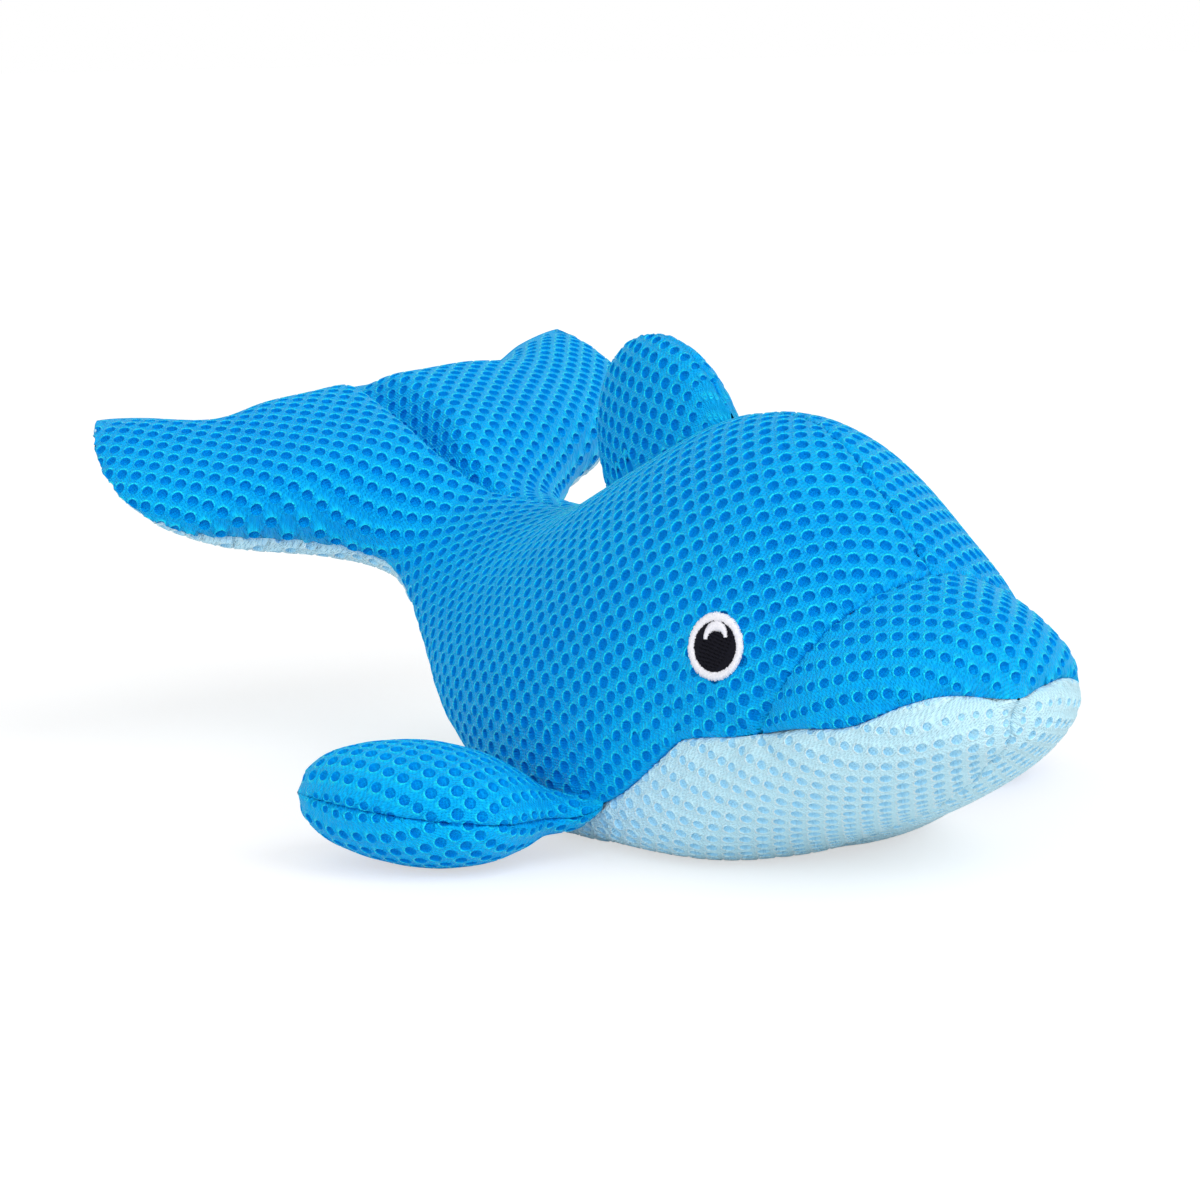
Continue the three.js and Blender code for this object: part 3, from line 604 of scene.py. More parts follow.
class Panel:
    """A piece of cloth on a form. across runs from one long seam (0) to the other (1), along from end to end.

    Its cloth is measured in millimetres on the form: reach along it, and girth across it from a line that crosses
    every section at a right angle. Its holes stand in even rows by these, or, where the panel widens much, in rows
    of the cloth laid flat."""

    def __init__(self, form, seams, ends, seam_edges, gathers=(), widens=False):
        self.form = form
        self.skin = form.skin
        self.seams = seams
        self.ends = ends
        self.seam_edges = seam_edges
        self.gathers = gathers
        starts, stops = self.ends(np.linspace(0, 1, END_POINTS))
        self.v = np.linspace(np.min(starts), np.max(stops), ROWS)
        steps = distances(np.diff(self.at(self.v[:, None], ACROSS[None, :]), axis=1))
        self.girth = np.concatenate([np.zeros((ROWS, 1)), np.cumsum(steps, axis=1)], axis=1)
        self.reach = np.zeros(ROWS)
        self.grain = np.zeros(ROWS)
        self.measure(1)
        self.measure(-1)
        inner = self.v[2:-2]
        middle = self.angle(inner, np.full_like(inner, 0.5))
        outward = self.skin(inner, middle) - self.skin(inner, middle + np.pi)
        self.facing = np.sign(dot(skin_normal(self.skin, inner, middle), outward).mean())
        self.flat = None
        if widens:
            self.lay_flat()

    def lay_flat(self):
        length, across = np.meshgrid(np.linspace(0, 1, FLAT_ROWS), np.linspace(0, 1, FLAT_COLUMNS), indexing="ij")
        v = self.station(across, length)
        girth = self.girth_at(v.ravel(), across.ravel()).reshape(v.shape) - np.interp(v, self.v, self.grain)
        self.flat = laid_flat(self.at(v, across), np.stack([np.interp(v, self.v, self.reach), girth], -1))

    def flat_inside(self, across, length):
        rows = along(self.flat.reshape(FLAT_ROWS, -1), length * (FLAT_ROWS - 1)).reshape(-1, FLAT_COLUMNS, 2)
        position = across * (FLAT_COLUMNS - 1)
        index = np.clip(np.floor(position).astype(int), 0, FLAT_COLUMNS - 2)
        pick = np.arange(len(across))
        near = [rows[pick, np.clip(index + k, 0, FLAT_COLUMNS - 1)] for k in (-1, 0, 1, 2)]
        return curve(*near, (position - index)[:, None])

    def flat_place(self, across, length):
        """Place in the flat, and its change across and along."""
        inside = np.clip(across, 0, 1), np.clip(length, 0, 1)
        changes = []
        for k in (0, 1):
            low, high = list(inside), list(inside)
            low[k] = np.maximum(inside[k] - FLAT_STEP, 0)
            high[k] = np.minimum(inside[k] + FLAT_STEP, 1)
            changes.append((self.flat_inside(*high) - self.flat_inside(*low)) / (high[k] - low[k])[:, None])
        place = self.flat_inside(*inside)
        place = place + changes[0] * (across - inside[0])[:, None] + changes[1] * (length - inside[1])[:, None]
        return place, changes[0], changes[1]

    def angle(self, v, across):
        first, second = self.seams(v)
        if self.skin is not body_skin:
            return between(first, second, across)
        return from_polar(v, between(polar(v, first), polar(v, second), across))

    def at(self, v, across):
        return self.skin(v, self.angle(v, across))

    def measure(self, step):
        """Follows the grain from the panel's middle to one end."""
        middle = ROWS // 2
        share = 0.5
        self.grain[middle] = np.interp(share, ACROSS, self.girth[middle])
        end = ROWS - 1 if step > 0 else 0
        for i in range(middle, end, step):
            here, there = self.at(self.v[[i, i + step]], share)
            ahead, behind = self.at(self.v[i], np.array([share + GRAIN_STEP, share - GRAIN_STEP]))
            direction = unit(ahead - behind)
            move = there - here
            slide = move @ direction
            self.reach[i + step] = self.reach[i] + step * np.linalg.norm(move - slide * direction)
            self.grain[i + step] = np.interp(share, ACROSS, self.girth[i + step]) - slide
            share = np.interp(self.grain[i + step], self.girth[i + step], ACROSS)
            share = np.clip(share, GRAIN_LEAST, 1 - GRAIN_LEAST)

    def girths(self, v):
        position = np.clip((v - self.v[0]) / (self.v[-1] - self.v[0]), 0, 1) * (ROWS - 1)
        index = np.minimum(position.astype(int), ROWS - 2)
        return between(self.girth[index], self.girth[index + 1], (position - index)[:, None])

    def girth_at(self, v, across):
        rows = self.girths(v)
        column = np.clip(np.searchsorted(ACROSS, across) - 1, 0, len(ACROSS) - 2)
        pick = np.arange(len(v))
        share = (across - ACROSS[column]) / (ACROSS[column + 1] - ACROSS[column])
        return between(rows[pick, column], rows[pick, column + 1], share)

    def share_along(self, v, across):
        start, stop = self.ends(across)
        return (v - start) / (stop - start)

    def extent(self):
        """Least and most of the places in the cloth."""
        if self.flat is not None:
            return self.flat.min((0, 1)), self.flat.max((0, 1))
        low, high = (self.girths(self.v)[:, np.searchsorted(ACROSS, edge)] - self.grain for edge in (0, 1))
        return np.array([self.reach[0], low.min()]), np.array([self.reach[-1], high.max()])

    def find(self, place):
        """Shares across and along of places in the cloth, outside 0 to 1 where there is none."""
        if self.flat is not None:
            return self.find_flat(place)
        reach, girth = place.T
        v = np.interp(reach, self.reach, self.v)
        pace = (self.v[-1] - self.v[0]) / (self.reach[-1] - self.reach[0])
        v = v + pace * (np.minimum(reach - self.reach[0], 0) + np.maximum(reach - self.reach[-1], 0))
        rows = self.girths(v)
        target = girth + np.interp(v, self.v, self.grain)
        column = np.clip((rows < target[:, None]).sum(1) - 1, 0, len(ACROSS) - 2)
        pick = np.arange(len(v))
        low, high = rows[pick, column], rows[pick, column + 1]
        share = np.clip((target - low) / np.maximum(high - low, SMALL), -PAST_EDGE, PAST_EDGE)
        across = between(ACROSS[column], ACROSS[column + 1], share)
        return across, self.share_along(v, across)

    def find_flat(self, target):
        """Starts at the nearest point of the grid and steps nearer."""
        nodes = self.flat.reshape(-1, 2)
        nearest = np.concatenate([((block[:, None] - nodes) ** 2).sum(2).argmin(1)
                                  for block in np.array_split(target, len(target) // FIND_BLOCK + 1)])
        length = nearest // FLAT_COLUMNS / (FLAT_ROWS - 1)
        across = nearest % FLAT_COLUMNS / (FLAT_COLUMNS - 1)
        for _ in range(FIND_ROUNDS):
            place, by_across, by_length = self.flat_place(across, length)
            miss = target - place
            size = turn_of(by_across, by_length)
            size = np.where(np.abs(size) < 1, np.where(size < 0, -1, 1), size)
            across = across + np.clip(turn_of(miss, by_length) / size, -FIND_MOST, FIND_MOST)
            length = length + np.clip(turn_of(by_across, miss) / size, -FIND_MOST, FIND_MOST)
        return across, length

    def station(self, across, length):
        start, stop = self.ends(across)
        return between(start, stop, length)

    def relief(self, v, across):
        """Height of the cloth over its form, rolled in and puckered at its seams, the share of its own relief
        that it keeps, and its distance to a seam."""
        start, stop = self.ends(across)
        reach = np.interp(v, self.v, self.reach)
        girth = self.girth_at(v, across)
        to_edge = {
            "first": girth - self.girth_at(v, np.zeros_like(v)),
            "second": self.girth_at(v, np.ones_like(v)) - girth,
            "start": reach - np.interp(start, self.v, self.reach),
            "stop": np.interp(stop, self.v, self.reach) - reach,
        }
        height = np.zeros_like(v)
        near = np.full_like(v, np.inf)
        for edge, (dip, pucker, shade_offset) in self.seam_edges.items():
            distance = np.maximum(to_edge[edge], 0)
            # distance for the painted shade along the seams, held back by each seam's offset
            near = np.minimum(near, distance + shade_offset)
            inside = np.maximum(SEAM_ROLL - distance, 0)
            height -= SEAM_ROLL - np.sqrt(SEAM_ROLL**2 - inside**2)
            height -= dip * np.exp(-((distance / SEAM_DIP_WIDTH) ** 2))
            run = reach if edge in ("first", "second") else girth
            wave = np.sin(2 * np.pi * run / PUCKER_LENGTH + PUCKER_DRIFT * np.sin(run / PUCKER_DRIFT_LENGTH))
            height += pucker * wave * np.exp(-distance / PUCKER_REACH) * smooth(distance / SEAM_ROLL)
        for gather in self.gathers:
            height -= gather(self.at(v, across))
        flat = np.ones_like(v)
        for edge in ("start", "stop"):
            if edge not in self.seam_edges:
                flat *= smooth(to_edge[edge] / EDGE_FADE)
        return height * flat, flat, near


RIM = np.array([(3, 0), (2, 1), (1, 2), (0, 3), (-1, 2), (-2, 1),
                (-3, 0), (-2, -1), (-1, -2), (0, -3), (1, -2), (2, -1)])
SIDES = len(RIM)
CORNERS = (0, 3, 6, 9)
INNER_RADIUS = HOLE_PITCH_ALONG * HOLE_PITCH_ACROSS / 2 / math.hypot(HOLE_PITCH_ALONG, HOLE_PITCH_ACROSS)


def hole_centres(panel):
    """Staggered lattice over a panel, in half pitches."""
    pitch = np.array([HOLE_PITCH_ALONG, HOLE_PITCH_ACROSS]) / 2
    low, high = panel.extent()
    low = np.floor(low / pitch).astype(int) - 2
    high = np.ceil(high / pitch).astype(int) + 3
    grid = np.stack(np.meshgrid(*(np.arange(a, b) for a, b in zip(low, high)), indexing="ij"), -1).reshape(-1, 2)
    return grid[grid.sum(1) % 2 == 0]


def cloth_values(panel, thirds):
    """Across, along, height, cloth coordinates and share of painted light of lattice points, counted in sixths of a
    pitch.
    """
    place = thirds * [HOLE_PITCH_ALONG / 6, HOLE_PITCH_ACROSS / 6]
    across, length = panel.find(place)
    return np.column_stack([across, length, np.full(len(place), RIM_HEIGHT), place, np.zeros(len(place))])


def within(values):
    return ((values[..., :2] >= 0) & (values[..., :2] <= 1)).all(-1)


def hole_frames(panel, centre, corners):
    """Directions in the cloth at each hole, as moves across and along, and how far the cloth is squeezed."""
    def point(across, length):
        across = np.clip(across, ACROSS[0], ACROSS[-1])
        return panel.at(np.clip(panel.station(across, length), panel.v[0], panel.v[-1]), across)

    middle = point(centre[:, 0], centre[:, 1])
    outer = point(corners[..., 0].ravel(), corners[..., 1].ravel()).reshape(-1, 4, 3)
    forward = unit(outer[:, 0] - outer[:, 2])
    sideways = outer[:, 1] - outer[:, 3]
    sideways = unit(sideways - forward * dot(forward, sideways)[:, None])
    following = np.roll(outer, -1, axis=1)
    area = distances(np.cross(outer - middle[:, None], following - outer))
    inner = (area / np.maximum(distances(following - outer), SMALL)).min(1)
    squeeze = np.clip(inner / INNER_RADIUS, 0, HOLE_MOST)
    across, length = np.clip(centre[:, :2], HOLE_STEP, 1 - HOLE_STEP).T
    d_across = (point(across + HOLE_STEP, length) - point(across - HOLE_STEP, length)) / (2 * HOLE_STEP)
    d_along = (point(across, length + HOLE_STEP) - point(across, length - HOLE_STEP)) / (2 * HOLE_STEP)
    aa, bb, ab = dot(d_across, d_across), dot(d_along, d_along), dot(d_across, d_along)
    determinant = np.maximum(aa * bb - ab**2, SMALL)
    moves = []
    for direction in (forward, sideways):
        pa, pb = dot(d_across, direction), dot(d_along, direction)
        moves.append(np.stack([bb * pa - ab * pb, aa * pb - ab * pa], 1) / determinant[:, None])
    return moves[0], moves[1], squeeze


def cut_to_panel(values, polygons):
    """Cuts polygons at the four borders of their panel and carries their values along."""
    values = values.tolist()
    for column, limit, sign in ((0, 0, 1), (0, 1, -1), (1, 0, 1), (1, 1, -1)):
        cuts = {}
        remaining = []
        for polygon, material in polygons:
            sides = [sign * (values[i][column] - limit) for i in polygon]
            if min(sides) >= 0:
                remaining.append((polygon, material))
                continue
            if max(sides) <= 0:
                continue
            ring = []
            for k, i in enumerate(polygon):
                j = polygon[k - 1]
                if (sides[k] >= 0) != (sides[k - 1] >= 0):
                    key = (min(i, j), max(i, j))
                    if key not in cuts:
                        share = sides[k - 1] / (sides[k - 1] - sides[k])
                        values.append([between(p, q, share) for p, q in zip(values[j], values[i])])
                        cuts[key] = len(values) - 1
                    ring.append(cuts[key])
                if sides[k] >= 0:
                    ring.append(i)
            if len(ring) > 2:
                remaining.append((ring, material))
        polygons = remaining
    return np.array(values), polygons


def perforated(panel):
    """Flat mesh of a panel's cloth with its holes, cut to the panel: values, polygons and material indices."""
    centres = hole_centres(panel)
    rim_keys = 3 * centres[:, None, :] + RIM[None]
    keys, inverse = np.unique(rim_keys.reshape(-1, 2), axis=0, return_inverse=True)
    rim_values = cloth_values(panel, keys)
    rim = inverse.reshape(-1, SIDES)
    shown = within(rim_values)[rim].any(1)
    centres, rim = centres[shown], rim[shown]
    middle = cloth_values(panel, 3 * centres)
    forward, sideways, squeeze = hole_frames(panel, middle, rim_values[rim[:, CORNERS]])
    is_open = squeeze > HOLE_LEAST
    turns = np.arange(SIDES) * 2 * np.pi / SIDES
    rings = []
    for k, (radius, height, painted_light_share) in enumerate(HOLE_RINGS):
        size = (radius * squeeze)[:, None]
        ahead, beside = size * np.cos(turns), size * np.sin(turns)
        ring = np.zeros((len(centres), SIDES, 6))
        ring[..., :2] = (middle[:, None, :2] + ahead[..., None] * forward[:, None]
                         + beside[..., None] * sideways[:, None])
        ring[..., 2] = (height * squeeze * is_open)[:, None]
        ring[..., 3] = middle[:, None, 3] + ahead
        ring[..., 4] = middle[:, None, 4] + beside
        # Painted light: a glint on the rim's side towards the tail and up, and inside the hole a lighter side across
        # from it.
        lit = np.cos(turns + PAINTED_LIGHT_TURN) * (1 if k <= FIRST_WALL_RING else -1)
        ring[..., 5] = painted_light_share * between(PAINTED_LIGHT_LEAST, 1, smooth(lit + PAINTED_LIGHT_MORE))
        rings.append(ring)
    middle[:, 2] = HOLE_RINGS[-1][1] * squeeze * is_open
    middle[:, 5] = HOLE_MIDDLE_PAINTED_LIGHT
    values = np.concatenate([rim_values, *(ring.reshape(-1, 6) for ring in rings), middle])
    count = len(centres)
    levels = [rim]
    for k in range(len(rings)):
        levels.append(len(rim_values) + k * count * SIDES + np.arange(count * SIDES).reshape(count, SIDES))
    hub = len(rim_values) + len(rings) * count * SIDES + np.arange(count)
    whole = within(values)[levels[0]].all(1) & within(values)[levels[1]].all(1)
    polygons, border = [], []
    for k, outer in enumerate(levels):
        if k + 1 < len(levels):
            inner = [np.roll(levels[k + 1], -1, 1), levels[k + 1]]
        else:
            inner = [np.repeat(hub[:, None], SIDES, 1)]
        faces = np.stack([outer, np.roll(outer, -1, 1), *inner], -1)
        # faces from here inwards take the inside material, painted darker as shade
        inside = (k > FIRST_WALL_RING) & is_open
        for chosen, target in ((whole, polygons), (~whole, border)):
            materials = np.repeat(inside[chosen], SIDES).astype(int).tolist()
            target.extend(zip(faces[chosen].reshape(-1, faces.shape[-1]).tolist(), materials))
    values, border = cut_to_panel(values, border)
    return values, polygons + border


def cover(name, panel, materials, tip=None):
    """Mesh object of a panel's perforated cloth. It has no relief at a tip, where two panels run together."""
    values, polygons = perforated(panel)
    faces = [polygon for polygon, _ in polygons]
    used = np.unique(np.concatenate([np.asarray(face) for face in faces]))
    renumbered = np.zeros(len(values), int)
    renumbered[used] = np.arange(len(used))
    values = values[used]
    across = np.clip(values[:, 0], 0, 1)
    v = panel.station(across, np.clip(values[:, 1], 0, 1))
    angle = panel.angle(v, across)
    normal = skin_normal(panel.skin, v, angle) * panel.facing
    height, flat, near = panel.relief(v, across)
    points = panel.skin(v, angle)
    lift = values[:, 2] * flat + height
    if tip is not None:
        lift *= smooth(distances(points - tip) / TIP_CALM)
    points += normal * lift[:, None] + panel.form.swell(v, angle)
    points[:, 2] = np.maximum(points[:, 2], BELLY_FLAT)
    faces = [renumbered[face] for face in faces]
    quads = np.array([face for face in faces if len(face) == 4])
    if np.median(facing(points[quads], normal[quads[:, 0]])) < 0:
        faces = [face[::-1] for face in faces]
    piece = mesh_object(name, placed(points), faces, materials, [m for _, m in polygons], values[:, 3:5])
    mark(piece, "painted_light", values[:, 5])
    mark(piece, "seam_distance", np.minimum(near / SEAM_SHADE_REACH, 1))
    return piece


def mark(piece, name, values):
    """Keeps one number for each point of a mesh, for its material."""
    piece.data.attributes.new(name, "FLOAT", "POINT").data.foreach_set("value", np.asarray(values, np.float32))


def mesh_object(name, points, faces, materials, face_materials=None, cloth=None):
    mesh = bpy.data.meshes.new(name)
    mesh.from_pydata(np.asarray(points).tolist(), [], [list(map(int, face)) for face in faces])
    mesh.polygons.foreach_set("use_smooth", [True] * len(mesh.polygons))
    for material in materials:
        mesh.materials.append(material)
    if face_materials is not None:
        mesh.polygons.foreach_set("material_index", face_materials)
    if cloth is not None:
        corners = np.zeros(len(mesh.loops), int)
        mesh.loops.foreach_get("vertex_index", corners)
        layer = mesh.uv_layers.new(name="cloth")
        layer.data.foreach_set("uv", np.asarray(cloth)[corners].ravel())
    mesh.validate()
    mesh.update()
    piece = bpy.data.objects.new(name, mesh)
    bpy.context.scene.collection.objects.link(piece)
    return piece


# Materials

def shader(name, colour, roughness):
    material = bpy.data.materials.new(name)
    material.use_nodes = True
    material.diffuse_color = (*colour, 1)
    tree = material.node_tree
    surface = tree.nodes["Principled BSDF"]
    surface.inputs["Base Color"].default_value = (*colour, 1)
    surface.inputs["Roughness"].default_value = roughness
    return material, tree, surface


def node(tree, kind, **settings):
    made = tree.nodes.new(f"ShaderNode{kind}")
    for key, value in settings.items():
        if hasattr(made, key):
            setattr(made, key, value)
        else:
            made.inputs[key].default_value = value
    return made


def feed(tree, socket, value):
    """Sets a socket to a number or a colour, or joins it to another socket."""
    if isinstance(value, bpy.types.NodeSocket):
        tree.links.new(value, socket)
    else:
        socket.default_value = (*value, 1) if isinstance(value, tuple) else value


def texture(tree, kind, place, **settings):
    made = node(tree, f"Tex{kind}", **settings)
    tree.links.new(place, made.inputs["Vector"])
    return made.outputs["Fac"]


def grey(value):
    return (value,) * 3


def ramp(tree, source, stops):
    made = node(tree, "ValToRGB")
    elements = made.color_ramp.elements
    for element, (position, colour) in zip(elements, stops):
        element.position = position
        element.color = (*colour, 1)
    tree.links.new(source, made.inputs["Fac"])
    return made.outputs["Color"]


def math_node(tree, operation, *values):
    made = node(tree, "Math", operation=operation)
    for socket, value in zip(made.inputs, values):
        feed(tree, socket, value)
    return made.outputs["Value"]


def mixed(tree, factor, first, second):
    made = node(tree, "Mix", data_type="RGBA")
    tree.links.new(factor, made.inputs["Factor"])
    colours = [socket for socket in made.inputs if socket.type == "RGBA"]
    for socket, value in zip(colours, (first, second)):
        feed(tree, socket, value)
    return [socket for socket in made.outputs if socket.type == "RGBA"][0]


def roughen(tree, surface, height, strength, distance):
    bump = node(tree, "Bump", Strength=strength, Distance=distance)
    tree.links.new(height, bump.inputs["Height"])
    tree.links.new(bump.outputs["Normal"], surface.inputs["Normal"])


KNIT_LOOPS = (("X", 0.33), ("Y", 0.40), ("DIAGONAL", 0.22))  # directions of the loops, and how close they lie
KNIT_SLANT = 0.35  # share of the slanting loops
YARN_SLANT = 0.7  # radians by which the strands of the yarn lie across the cloth
YARN_SHAPE = (0.85, 2.6, 1)
SPARK_LEAST = 0.18  # share of painted glint on strands away from the holes
SPARK_SHINE = -0.3
FRAY = 0.8
FRAY_SHIFT = -0.38
YARN_RELIEF = 0.7


def mesh_fabric(name, colour, deep, glint, seam, roughness):
    """Knitted cloth: fine loops in the cloth's own directions, uneven dye, painted glints round the holes and on
    scattered strands, a painted lighter side inside the holes and a dark line of painted shade along the seams."""
    material, tree, surface = shader(name, colour, roughness)
    place = node(tree, "TexCoord").outputs
    loops = [texture(tree, "Wave", place["UV"], bands_direction=direction, Scale=scale, Distortion=2.0, Detail=2.0)
             for direction, scale in KNIT_LOOPS]
    knit = math_node(tree, "MULTIPLY_ADD", loops[2], KNIT_SLANT, math_node(tree, "MULTIPLY", loops[0], loops[1]))
    dye = texture(tree, "Noise", place["Object"], Scale=26.0, Detail=3.0)
    strands = node(tree, "Mapping", Rotation=(0, 0, YARN_SLANT), Scale=YARN_SHAPE)
    tree.links.new(place["UV"], strands.inputs["Vector"])
    yarn = texture(tree, "Noise", strands.outputs["Vector"], Scale=1.0, Detail=2.0, Roughness=0.6)
    # The first attribute is the share of painted light: glints on the rims and a lighter side inside the holes.
    painted_light_share, distance = (node(tree, "Attribute", attribute_name=attribute).outputs["Fac"]
                        for attribute in ("painted_light", "seam_distance"))

    tone = ramp(tree, dye, ((0.30, deep), (0.72, colour)))
    tone = mixed(tree, ramp(tree, knit, ((0.05, grey(0.7)), (0.60, grey(0)))), tone, deep)
    # Painted glints: strands of the yarn noise mixed towards the glint colour, strongest where the share of painted
    # light is high.
    strand = ramp(tree, yarn, ((0.44, grey(0)), (0.64, grey(1))))
    amount = math_node(tree, "MULTIPLY_ADD", strand, 0.5, 0.5)
    spark = math_node(tree, "MAXIMUM", math_node(tree, "MULTIPLY", amount, painted_light_share),
                      math_node(tree, "MULTIPLY", strand, SPARK_LEAST))
    tone = mixed(tree, spark, tone, glint)
    fray = math_node(tree, "MULTIPLY_ADD", yarn, FRAY, FRAY_SHIFT)
    # painted shade: a dark line along the seams, frayed by the yarn noise
    edge = ramp(tree, math_node(tree, "ADD", distance, fray), ((0.02, grey(0.9)), (0.20, grey(0))))
    tree.links.new(mixed(tree, edge, tone, seam), surface.inputs["Base Color"])
    tree.links.new(math_node(tree, "MULTIPLY_ADD", spark, SPARK_SHINE, roughness), surface.inputs["Roughness"])
    roughen(tree, surface, math_node(tree, "MULTIPLY_ADD", yarn, YARN_RELIEF, knit), 0.75, 0.4 * MM)
    surface.inputs["Sheen Weight"].default_value = 0.08
    surface.inputs["Sheen Roughness"].default_value = 0.35
    surface.inputs["Sheen Tint"].default_value = (*glint, 1)
    surface.inputs["Specular IOR Level"].default_value = 0.85
    surface.inputs["Specular Tint"].default_value = (*glint, 1)
    return material


def streaked(name, colour, shade, roughness, stops, bump, **noise):
    """A surface of two tones that run into each other, with a fine relief."""
    material, tree, surface = shader(name, colour, roughness)
    streaks = texture(tree, "Noise", node(tree, "TexCoord").outputs["Object"], **noise)
    tone = ramp(tree, streaks, tuple(zip(stops, (shade, colour))))
    tree.links.new(tone, surface.inputs["Base Color"])
    roughen(tree, surface, streaks, *bump)
    return material, surface


def yarn_material(name, colour, shade, roughness, scale, sheen=0.25):
    """Twisted thread or loose fibre: fine streaks of two tones."""
    material, surface = streaked(name, colour, shade, roughness, (0.32, 0.62), (0.4, 0.15 * MM),
                                 Scale=scale, Detail=3.0, Roughness=0.65)
    surface.inputs["Sheen Weight"].default_value = sheen
    surface.inputs["Specular IOR Level"].default_value = sheen + 0.1
    return material


def moulded_plastic(name, colour, shade):
    return streaked(name, colour, shade, 0.45, (0.35, 0.65), (0.15, 0.2 * MM), Scale=90.0, Detail=4.0)[0]


# GLINT colours are painted highlights, which also tint the sheen and specular.
# HOLE colours are the insides of the holes, painted darker as shade.
# SEAM colours are a painted shade along the seams.
BLUE = (0.000, 0.435, 0.930)
BLUE_DEEP = (0.000, 0.310, 0.860)
BLUE_GLINT = (0.020, 0.880, 0.960)
BLUE_HOLE_SHADED = (0.000, 0.260, 0.760)
BLUE_HOLE_DEEP_SHADED = (0.000, 0.215, 0.690)
BLUE_SEAM_SHADE = (0.000, 0.090, 0.400)
PALE = (0.580, 0.890, 1.000)
PALE_DEEP = (0.530, 0.860, 1.000)
PALE_GLINT = (0.820, 0.960, 1.000)
PALE_HOLE_SHADED = (0.410, 0.770, 1.000)
PALE_HOLE_DEEP_SHADED = (0.360, 0.730, 0.980)
PALE_SEAM_SHADE = (0.140, 0.400, 0.620)

WHITE = (0.930, 0.920, 0.960)
WHITE_SHADE = (0.780, 0.780, 0.860)
BLACK = (0.009, 0.009, 0.016)
BLACK_SHADE = (0.003, 0.003, 0.006)
FIBRE = (0.860, 0.860, 0.840)
FIBRE_SHADE = (0.700, 0.700, 0.680)
PLASTIC = (0.800, 0.780, 0.720)
PLASTIC_SHADE = (0.720, 0.700, 0.640)
THREAD_STREAKS = 2400.0
FIBRE_STREAKS = 700.0

# Each cloth has a material for its face and one for the inside of its holes, painted darker as shade, with painted
# light on one side of each hole.
blue_cloth = [mesh_fabric("blue_mesh", BLUE, BLUE_DEEP, BLUE_GLINT, BLUE_SEAM_SHADE, roughness=0.56),
              mesh_fabric("blue_mesh_inside_shaded", BLUE_HOLE_SHADED, BLUE_HOLE_DEEP_SHADED, BLUE, BLUE_SEAM_SHADE, roughness=0.85)]
pale_cloth = [mesh_fabric("pale_mesh", PALE, PALE_DEEP, PALE_GLINT, PALE_SEAM_SHADE, roughness=0.75),
              mesh_fabric("pale_mesh_inside_shaded", PALE_HOLE_SHADED, PALE_HOLE_DEEP_SHADED, PALE, PALE_SEAM_SHADE, roughness=0.85)]
white_thread = yarn_material("white_thread", WHITE, WHITE_SHADE, 0.55, THREAD_STREAKS)
black_thread = yarn_material("black_thread", BLACK, BLACK_SHADE, 0.6, THREAD_STREAKS, sheen=0.0)
fibre = yarn_material("fibre_filling", FIBRE, FIBRE_SHADE, 0.9, FIBRE_STREAKS)
plastic = moulded_plastic("squeaker_plastic", PLASTIC, PLASTIC_SHADE)


# Covers of the body and tail

# Each seam: depth of its valley, height of its puckers, and how far its line of painted shade is held back, in
# millimetres.
TOP_SEAM = (SEAM_DIP * 0.45, PUCKER_HEIGHT * 0.4, 0.3)
SIDE_SEAM = (SEAM_DIP, PUCKER_HEIGHT, 0.4)
PALE_SIDE_SEAM = (SEAM_DIP, PUCKER_HEIGHT, 0.8)
PLAIN_SEAM = (SEAM_DIP, PUCKER_HEIGHT * 0.6, 0.5)
HIP = [placed(tail_hinge() + [reach, 0, 0]) for reach in (TAIL_BEND_LENGTH / 2, -TAIL_BEND_LENGTH / 2)]
RIGHT_LEFT = ((-1, "right"), (1, "left"))
MOUTH_CORNER = CREASE_STATION + CREASE_SWEEP
GATHERS = ((FLIPPER_STATION, 1.3, 15, 13), (MOUTH_CORNER, 2.0, 15, 5))  # station, depth, reach and folds
GATHER_STEP = 0.02
GATHER_DRIFT = 1.3
GATHER_LEAST = 0.35  # depth between the folds
BODY_COLUMNS = 112  # round the simulated cloth
FIN_COLUMNS = 40
DORSAL_SPAN = (0.02, 0.98)
DORSAL_HELD = 0.9  # quarters to each side of its lowest line, inside the back
FLIPPER_SPAN = (0.01, 1)
FLIPPER_CLOTH_START = 0.05  # of the simulated cloth
FLIPPER_BEND = (-4, 12)  # distances from the hinge of the two points of FLIPPER_BENDS


def dress(piece, nodes, bodies, bend):
    """Hides the CAD parts that a cover or a filling stands for, and attaches it to its body where it has one; with
    more than one its place is baked into its mesh.
    """
    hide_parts(*nodes)
    if len(bodies) == 1:
        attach(piece, bodies[0])
    else:
        tuple(bend[0])
        tuple(bend[1])
        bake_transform(piece)


def body_column(v, angle):
    seam = polar(v, seam_angle(v))
    direction = polar(v, angle)
    size = np.abs(direction)
    return np.sign(direction) * np.where(size < seam, size / seam, 1 + (size - seam) / (np.pi - seam))


def body_turn(v, quarter):
    seam = polar(v, seam_angle(v))
    quarter = np.where(quarter > 2, quarter - 4, quarter)
    size = np.abs(quarter)
    return from_polar(v, np.sign(quarter) * np.where(size < 1, size * seam, between(seam, np.pi, size - 1)))


def body_held(v, quarter, step):
    size = np.minimum(quarter, 4 - quarter)
    crease = crease_station(size)
    at_seam = (size == 1) | (size == 2) | ((size == 0) & (v > crease))
    return at_seam | ((size < 1) & (np.abs(v - crease) < step))


def fin_column(v, angle):
    return angle / (np.pi / 2)


def fin_turn(v, quarter):
    return quarter * np.pi / 2


def dorsal_held(v, quarter, step):
    return (quarter == 0) | (np.abs(quarter - 2) < DORSAL_HELD)


